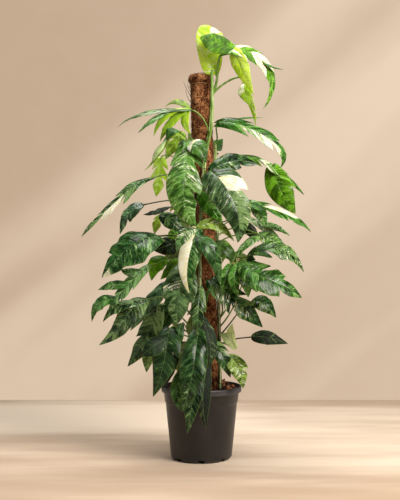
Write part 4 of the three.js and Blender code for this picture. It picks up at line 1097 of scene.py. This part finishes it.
leaf("low_inner", "front", 380, [(-65, -95, 460), (-75, -115, 420), (-80, -110, 370)], (-0.1, -0.95, 0.2), 35,
     "grey")
leaf("left_low_small", "back_left", 380, [(-175, -10, 380), (-180, -20, 340), (-185, -15, 290)],
     (-0.1, -0.95, 0.2), 42, "slate", cream=0.25, pale=0.4, light=2.8)
leaf("pot_dark", "left", 340, [(-75, -70, 365), (-105, -90, 305), (-130, -75, 238)], (-0.5, -0.8, 0.3), 38,
     "black")
leaf("lime_bit", "back_left", 770, [(-135, 20, 820), (-150, 10, 795), (-160, 10, 755)], (-0.3, -0.9, 0.2), 38,
     "olive", cuts=[(0.3, 0.7, 0.7)], pale=0.5, light=1.7)
leaf("lime_bit_2", "back_left", 720, [(-70, 10, 775), (-95, 0, 755), (-120, 5, 735)], (-0.1, -0.9, 0.4), 42,
     "fresh", pale=0.35, deep=0.2)
# low_pale and pale_up: their pale tone and light are partly painted light, as they lie in shade
leaf("low_pale", "back_right", 380, [(115, -20, 370), (90, -35, 405), (60, -30, 420)], (0.2, -0.95, 0.1), 38,
     "pale", pale=0.5, light=1.2)
lobe("pale_up", "low_pale", 0.1, [(98, -35, 420), (105, -30, 455)], (0.2, -0.95, 0.1), 30, "pale", pale=0.6,
     light=1.5)
leaf("low_lance", "back_right", 360, [(170, -20, 410), (220, -40, 410), (290, -30, 388)], (0, -0.9, 0.4), 52,
     "black", pale=0.16, deep=1, light=1.3)
leaf("low_dark", "right", 360, [(45, -80, 400), (70, -115, 355), (95, -110, 285)], (0.3, -0.9, 0.2), 55,
     "dark", cuts=[(0.3, 0.7, 0)], pale=[(1, 0, 0.5, 0.45), (0, 0, 1, 0.2)], light=1.1)
leaf("low_light", "right", 310, [(90, -80, 355), (120, -125, 320), (135, -140, 255)], (0.2, -0.9, 0.35), 66,
     "olive", cuts=[(0.5, 0.5, 0)], cream=0.32, pale=0.45, light=0.5)
leaf("back_1", "back_left", 340, [(-55, 95, 380), (-65, 165, 365), (-70, 220, 310), (-75, 245, 230)],
     (-0.1, 0.75, 0.6), 95, "dark", cuts=[(0.35, 0.6, 0.4)], cream=[(1, 0.2, 0.6, 0.35)], pale=0.35)
leaf("back_2", "back_right", 430, [(30, 115, 500), (0, 190, 475), (-15, 240, 405), (-15, 260, 320)],
     (0.1, 0.75, 0.6), 95, "dark", cuts=[(0.3, 0.5, 0.7)], cream=[(-1, 0.1, 0.5, 0.9)], pale=0.38)
leaf("back_3", "back_left", 520, [(-40, 110, 590), (-70, 185, 570), (-90, 245, 500), (-95, 265, 410)],
     (-0.1, 0.75, 0.6), 105, "dark", cuts=[(0.25, 0.7, 0.7), (0.55, 0.6, 0.3)], cream=0.22, pale=0.42)
leaf("back_4", "back_right", 610, [(95, 95, 690), (135, 160, 675), (160, 210, 610), (170, 225, 530)],
     (0.3, 0.7, 0.6), 92, "mid", cuts=[(0.4, 0.6, 0.6)], cream=[(1, 0.3, 0.7, 0.6)], pale=0.4)
leaf("back_5", "back_left", 640, [(-70, 85, 705), (-92, 140, 690), (-102, 180, 625), (-104, 195, 545)],
     (-0.4, 0.7, 0.5), 84, "dark", cuts=[(0.4, 0.6, 0.6)], cream=0.2, pale=0.36)
leaf("back_6", "back_right", 720, [(25, 115, 800), (25, 190, 785), (20, 240, 715), (15, 260, 620)],
     (0, 0.75, 0.6), 105, "dark", cuts=[(0.3, 0.7, 0.7), (0.6, 0.3, 0.6)], cream=[(-1, 0.35, 0.8, 0.5)],
     pale=0.42)
leaf("back_7", "back_left", 800, [(-50, 100, 880), (-65, 165, 865), (-75, 205, 795), (-80, 220, 710)],
     (-0.2, 0.75, 0.6), 90, "mid", cuts=[(0.35, 0.6, 0.6)], cream=0.32, pale=0.45, light=1.3)
leaf("back_8", "back_right", 850, [(85, 90, 920), (110, 145, 905), (125, 180, 840), (130, 195, 760)],
     (0.3, 0.7, 0.6), 80, "mid", cuts=[(0.3, 0.6, 0.6)], cream=[(1, 0.1, 0.4, 0.9)], pale=0.42)
leaf("back_9", "back_left", 900, [(-15, 105, 930), (-30, 160, 920), (-40, 190, 860), (-40, 200, 790)],
     (0, 0.75, 0.6), 76, "mid", cuts=[(0.4, 0.6, 0.4)], cream=0.28, pale=0.45)
leaf("back_10", "back_right", 960, [(20, 95, 1050), (8, 145, 1035), (3, 175, 975), (3, 180, 905)],
     (0.2, 0.75, 0.6), 72, "mid", cuts=[(0.4, 0.6, 0.6)], cream=[(-1, 0.3, 0.7, 0.6)], pale=0.4, light=1.2)


leafFinish = {
    "shader": {"IOR": 1.33, "Subsurface Weight": 0.45, "Subsurface Radius": (1.0, 1.0, 0.35),
               "Subsurface Scale": 0.003},
    "cream": (240, 238, 218), "creamWarm": (226, 220, 160), "mint": (150, 182, 114),
    "midrib": (164, 188, 108), "underside": (112, 136, 78), "paintedSheen": (108, 136, 110),
    # factors of the leaf's own tone; shaded and sunny, and soft and bright on young leaves, are painted shade
    # and painted light
    "shaded": (0.24, 0.3, 0.2), "sunny": (2.15, 2.05, 1.65), "soft": (0.8, 0.84, 0.7),
    "bright": (1.1, 1.08, 1.2), "deep": (0.3, 0.38, 0.28), "pallid": (2.2, 2.1, 2.0),
    # how much of a colour goes over what lies below
    "veinShare": 0.22, "paleShare": 0.8, "pallor": 0.6, "dullShare": 0.3,
    # the same on an old leaf, and added by youth
    "ribShare": (0.2, 0.4), "marginShare": (0.2, 0.1),
    # soft edges of the tones, the marks and the lines
    "sideEdge": (-0.4, 0.4), "paintedSheenEdge": (0.3, 0.06, 0, 0.14), "youngEdge": (0.15, 0.55),
    "creamEdge": (0.5, 0.58), "warmEdge": (0.42, 0.56), "paleEdge": (0.52, 0.78), "cloudEdge": (0.42, 0.6),
    "deepEdge": (0.38, 0.56), "veinEdge": (0.0, 0.16), "veinBreak": (0.4, 0.56), "ribEdge": (0.4, 1.1),
    "marginEdge": (0.93, 0.98),
    # weights of the patterns that make or break up something
    "clouds": (0.3, 0.3, 0.15, 0.25), "veins": (0.4, 0.6), "paleSpots": (0.28, 0.3, 0.3, 0.12),
    "creamSpots": (0.5, 0.3, 0.2), "warmth": (0.6, 0.4), "paleContrast": 6, "creamContrast": 2.8,
    "paleRound": 0.4, "relief": (0.3, 0.5), "veinRelief": 0.8, "depth": 0.5,
    # least, and added by the underside, by deep green and by the clouds
    "roughness": (0.2, 0.2, 0.5, 0.4),
}
leafPatterns = {
    # a mark's length and width, how far the two sides differ, shift, detail, roughness, distortion
    "streak": (8, 46, 4, 0, 3, 0.62, 0.4), "fine": (3.2, 15, 4, 9, 3, 0.62, 0.4),
    "speck": (1.6, 3.4, 4, 18, 3, 0.62, 0.4), "fleck": (6, 11, 0, 17, 3, 0.6, 0.5),
    "cloud": (17, 32, 4, 3, 3, 0.55, 0.3), "patch": (24, 64, 4, 43, 2, 0.5, 0.5),
    "splash": (7, 44, 5, 31, 4, 0.65, 0.6),
}


def makeLeafSkin():
    look, graph = leafFinish, Finish("variegatedLeaf", leafFinish)
    along, across, seed = graph.split(graph.attribute("leafPlace"))
    veins, b, under = graph.split(graph.attribute("leafShare"))
    cream, pale, deep = graph.split(graph.attribute("marks"))
    tone = graph.attribute("tone", "Color")
    side = graph.edge(across, "sideEdge")

    def pattern(name):
        # follows the blade's own run, and is another one on each side and each leaf
        long, wide, apart, shift, *rest = leafPatterns[name]
        return graph.noise(graph.join(along / long, across / wide + side * apart, seed + shift), 1, *rest)

    def toned(name):
        return graph.stretched(tone, look[name])

    def withYouth(name):
        least, more = look[name]
        return young * more + least

    streak, fine, speck, fleck, cloud, patch, splash = (pattern(name) for name in leafPatterns)
    paintedSheen, creamWarm, creamWhite, mint, midrib, underside = graph.paints(
        "paintedSheen", "creamWarm", "cream", "mint", "midrib", "underside")
    # painted light and shade: clouds between a sunny and a shaded copy of the tone, partly the leaf's own
    # marbling; on dark leaves the sunny one takes a painted grey green sheen, young lime ones stay clear
    green = graph.split(tone)[1]
    young = graph.edge(green, "youngEdge")
    lit = graph.mix(graph.edge(green, "paintedSheenEdge") * (1 - deep), toned("sunny"), paintedSheen)
    lit = graph.mix(young, lit, toned("bright"))
    shady = graph.mix(young, toned("shaded"), toned("soft"))
    clouds = graph.edge(graph.blend("clouds", patch, cloud, fleck, fine), "cloudEdge")
    body = graph.mix(clouds, shady, lit)
    body = graph.mix(deep * graph.edge(streak, "deepEdge"), body, toned("deep"))
    veinLine = 1 - graph.edge(abs((veins * math.pi).sine()), "veinEdge")
    veinMask = veinLine * look["veinShare"] * graph.edge(graph.blend("veins", speck, fine), "veinBreak")
    body = graph.mix(veinMask, body, mint)
    # pale green and cream marks, broken up by the patterns
    spots = graph.blend("paleSpots", patch, streak, fine, fleck) - 0.5
    paleMask = graph.edge(pale + cream * look["paleRound"] + spots * look["paleContrast"], "paleEdge")
    body = graph.mix(paleMask * look["paleShare"], body, graph.mix(look["pallor"], toned("pallid"), mint))
    spots = graph.blend("creamSpots", splash, fine, speck) - 0.5
    creamMask = graph.edge(cream + spots * look["creamContrast"], "creamEdge")
    white = graph.mix(graph.edge(graph.blend("warmth", fine, streak), "warmEdge"), creamWarm, creamWhite)
    body = graph.mix(creamMask, body, white)
    # the midrib, the thin margin and the duller underside
    rib = 1 - graph.edge(abs(across), "ribEdge")
    body = graph.mix(rib * withYouth("ribShare"), body, midrib)
    body = graph.mix(graph.edge(b, "marginEdge") * withYouth("marginShare"), body, mint)
    body = graph.mix(under, body, graph.mix(look["dullShare"], body, underside))
    least, ofUnder, ofDeep, ofClouds = look["roughness"]
    roughness = least + under * ofUnder + deep * ofDeep + (cloud - 0.5) * ofClouds
    # the veins are sunk above and stand out below
    height = graph.blend("relief", speck, fine) + veinLine * (under * 2 - 1) * look["veinRelief"]
    return graph.feed({"Base Color": body, "Roughness": roughness}, height)


# Stems and leaf stalks: lines of points with a girth, which a node tree gives their round section

stemShape = {
    "radius": 6, "distance": 42.5, "step": 4, "nodes": 72, "nodeSwell": 0.22, "nodeLength": 4, "tip": 0.3,
    "sides": 14, "seedStep": 2.3,
}
stalkShape = {
    "points": 28, "bend": 0.3, "seat": 0.06, "sheath": 0.55, "sheathRun": 0.14,
    "knee": 0.35, "kneeAt": 0.95, "kneeRun": 0.05,
    # how green a stalk is, by its leaf's tone; above freshFrom all are fresh
    "freshness": {"lime": 1, "fresh": 0.85, "olive": 0.8, "pale": 0.8, "light": 0.8, "mid": 0.6,
                  "grey": 0.6, "slate": 0.6, "dark": 0.35},
    "otherFreshness": 0.1, "freshFrom": 1000,
}
stems = {
    # height and bearing round the pole
    "tall": [(110, -120), (400, -118), (700, -112), (900, -95), (1020, -76), (1130, -46), (1240, -30)],
    "front": [(110, -150), (400, -150), (700, -147), (1050, -143)],
    "right": [(110, -20), (400, -8), (700, 0), (900, 5), (1065, 5)],
    "left": [(110, 178), (500, -172), (900, -175), (1100, -172)],
    "back_left": [(110, 135), (600, 130), (1000, 125)],
    "back_right": [(110, 45), (600, 50), (1090, 60)],
}
dryRoots = {
    # thin roots that stand off the top of the pole
    "stem": "tall", "girth": (1.3, 0.5), "step": 3,
    "lines": [[(-24, -14, 1205), (-46, -18, 1236), (-60, -22, 1268)],
              [(-26, -16, 1188), (-44, -20, 1210), (-54, -26, 1240)],
              [(-25, -10, 1220), (-40, -12, 1240), (-47, -14, 1262)]],
}


def smoothPath(points, step):
    # a centripetal Catmull-Rom curve through the points, as the solids have
    points = [np.array(p, float) for p in points]
    row = [2 * points[0] - points[1]] + points + [2 * points[-1] - points[-2]]
    path = []
    for p0, p1, p2, p3 in zip(row, row[1:], row[2:], row[3:]):
        gaps = [max(np.linalg.norm(q - p), 1e-6) ** 0.5 for p, q in ((p0, p1), (p1, p2), (p2, p3))]
        t1 = ((p1 - p0) / gaps[0] - (p2 - p0) / (gaps[0] + gaps[1]) + (p2 - p1) / gaps[1]) * gaps[1]
        t2 = ((p2 - p1) / gaps[1] - (p3 - p1) / (gaps[1] + gaps[2]) + (p3 - p2) / gaps[2]) * gaps[1]
        count = max(2, int(np.linalg.norm(p2 - p1) / step))
        for t in np.arange(count) / count:
            path.append((2 * t ** 3 - 3 * t ** 2 + 1) * p1 + (t ** 3 - 2 * t ** 2 + t) * t1
                        + (3 * t ** 2 - 2 * t ** 3) * p2 + (t ** 3 - t ** 2) * t2)
    return np.array(path + [points[-1]])


def runAlong(path):
    # how far each point lies along the path
    return np.concatenate([[0], np.cumsum(np.linalg.norm(np.diff(path, axis=0), axis=1))])


def makeStemLine(name):
    knots = []
    for height, bearing in stems[name]:
        angle = math.radians(bearing)
        distance = stemShape["distance"]
        knots.append((poleX(height) + distance * math.cos(angle), distance * math.sin(angle), height))
    path = smoothPath(knots, stemShape["step"])
    nodes = stemShape["nodes"]
    gap = np.abs((runAlong(path) + nodes / 2) % nodes - nodes / 2)
    swell = stemShape["nodeSwell"] * np.exp(-(gap / stemShape["nodeLength"]) ** 2)
    girth = stemShape["radius"] * (1 + swell)
    girth[-1] = stemShape["radius"] * stemShape["tip"]
    return path, girth, -1


def makeStalkLine(item, path):
    # leaves the stem outward and upward, and ends under the blade's rib
    rib, shape = item["rib"], stalkShape
    start = path[np.argmin(np.abs(path[:, 2] - item["height"]))]
    outward = unit(np.array([start[0] - poleX(item["height"]), start[1], 0]))
    base = through(rib, np.array(0.0))
    bend = shape["bend"] * np.linalg.norm(base - start)
    first = start + outward * bend + np.array([0, 0, bend])
    second = base - ribTangent(rib, np.array(0.0)) * bend
    normal = ribNormals(rib, item["face"])[0]
    end = through(rib, np.array(shape["seat"])) - normal * blade["thickness"]
    t = np.linspace(0, 1, shape["points"])[:, None]
    line = (1 - t) ** 3 * start + 3 * t * (1 - t) ** 2 * first + 3 * t ** 2 * (1 - t) * second + t ** 3 * end
    t = t[:, 0]
    sheath = shape["sheath"] * np.exp(-t / shape["sheathRun"])
    knee = shape["knee"] * np.exp(-((t - shape["kneeAt"]) / shape["kneeRun"]) ** 2)
    freshness = shape["freshness"].get(item["tone"], shape["otherFreshness"])
    if item["height"] > shape["freshFrom"]:
        freshness = 1
    return line, item["stalk"] * (1 + sheath + knee), freshness


def makeRootLine(points):
    path = smoothPath(points, dryRoots["step"])
    return path, np.linspace(*dryRoots["girth"], len(path)), 0


def makeStalks(name, material):
    # the stem first, then its stalks and roots; the third value of a line is how fresh it is, -1 for a stem
    stem = makeStemLine(name)
    stalked = [item for item in leaves if item["stem"] == name and item["height"]]
    lines = [stem] + [makeStalkLine(item, stem[0]) for item in stalked]
    if name == dryRoots["stem"]:
        lines += [makeRootLine(root) for root in dryRoots["lines"]]
    points, edges, girths, places = [], [], [], []
    for order, (line, girth, freshness) in enumerate(lines):
        first = len(points)
        points += (line * mm).tolist()
        edges += [(first + i, first + i + 1) for i in range(len(line) - 1)]
        girths += (girth * mm).tolist()
        places += [(run, freshness, order * stemShape["seedStep"]) for run in runAlong(line)]
    mesh = bpy.data.meshes.new(f"{name}_stalks")
    mesh.from_pydata(points, edges, [])
    mesh.attributes.new("girth", "FLOAT", "POINT").data.foreach_set("value", np.array(girths, np.float32))
    place = mesh.attributes.new("stalkPlace", "FLOAT_VECTOR", "POINT")
    place.data.foreach_set("vector", np.array(places, np.float32).ravel())
    graph = Growth("stalkSection", Sides=stemShape["sides"], Material=material)
    line = graph.add("GeometryNodeMeshToCurve", {}, {0: graph.input("Geometry")})
    girth = graph.add("GeometryNodeInputNamedAttribute", {"data_type": "FLOAT"}, {"Name": "girth"})
    circle = graph.add("GeometryNodeCurvePrimitiveCircle", {}, {
        "Resolution": graph.input("Sides"), "Radius": 1.0})
    tube = graph.add("GeometryNodeCurveToMesh", {}, {
        "Curve": line, "Profile Curve": circle, "Scale": girth, "Fill Caps": True})
    tube = graph.add("GeometryNodeSetShadeSmooth", {}, {0: tube})
    return graph.run(newPiece(f"{name}_stalks", mesh), tube)


stalkFinish = {
    "shader": {"IOR": 1.45},
    "young": (140, 176, 66), "old": (66, 82, 36), "petiole": (120, 160, 60), "petioleDark": (30, 44, 22),
    "stripe": (210, 222, 164), "scar": (96, 80, 48),
    "fibre": ((200, 200, 12), 3, 0.6), "blotch": (28, 3, 0.6),
    # heights in metres between which a stem turns from old to young, and edges of its marks
    "youngFrom": (0.62, 1.12), "unevenAge": 0.3, "darkEdge": (0.48, 0.41), "stripeEdge": (0.51, 0.57),
    "scarEdge": (0.03, 0.1), "darkShare": 0.75, "stripeShare": 0.95,
    # a stalk's stripes and how uneven its green is; the freshness that tells a stalk from a stem
    "petioleStripe": (0.52, 0.66), "petioleShare": 0.6, "leastStripe": 0.1,
    "uneven": 0.5, "unevenLength": 200, "stalkFrom": (-0.6, -0.2),
    "relief": (1, 0.5), "depth": 0.4, "roughness": (0.38, 0.2),
}


def makeStalkSkin():
    look, graph = stalkFinish, Finish("greenStalk", stalkFinish)
    young, old, fresh, dull, stripe, scar = graph.paints(
        "young", "old", "petiole", "petioleDark", "stripe", "scar")
    fibre, blotch = graph.patterns("fibre", "blotch")
    run, freshness, seed = graph.split(graph.attribute("stalkPlace"))
    # the stem: older below, striped along its length, with a scar at each node
    height = graph.split(graph.place())[2]
    ageing = graph.edge(height + (blotch - 0.5) * look["unevenAge"], "youngFrom")
    stem = graph.mix(ageing, old, young)
    stem = graph.mix(graph.edge(fibre, "darkEdge") * look["darkShare"], stem, old)
    stem = graph.mix(graph.edge(fibre, "stripeEdge") * look["stripeShare"], stem, stripe)
    ring = graph.edge(abs((run * (math.pi / stemShape["nodes"])).sine()), "scarEdge")
    stem = graph.mix(ring, scar, stem)
    # the stalks: each a little different
    shade = graph.noise(graph.join(seed, seed, run / look["unevenLength"]), 1, 1)
    petiole = graph.mix(graph.step(freshness + (shade - 0.5) * look["uneven"], 0, 1), dull, fresh)
    striped = graph.edge(fibre, "petioleStripe") * (freshness + look["leastStripe"]) * look["petioleShare"]
    petiole = graph.mix(striped, petiole, stripe)
    colour = graph.mix(graph.edge(freshness, "stalkFrom"), stem, petiole)
    wires = {"Base Color": colour, "Roughness": graph.rough(blotch)}
    return graph.feed(wires, graph.blend("relief", fibre, blotch))


makePot()
makeSoil()
print("Pot and soil made")
makePole()
print("Pole made")
leafSkin, stalkSkin = makeLeafSkin(), makeStalkSkin()
for stemName in stems:
    blades = makeBlades(stemName, leafSkin)
    stalks = makeStalks(stemName, stalkSkin)
    settle(blades, "leaf", f"stem_{stemName}")
    settle(stalks, "leaf", f"stem_{stemName}")
    print("Stem made:", stemName, len(blades.data.polygons), "blade faces")
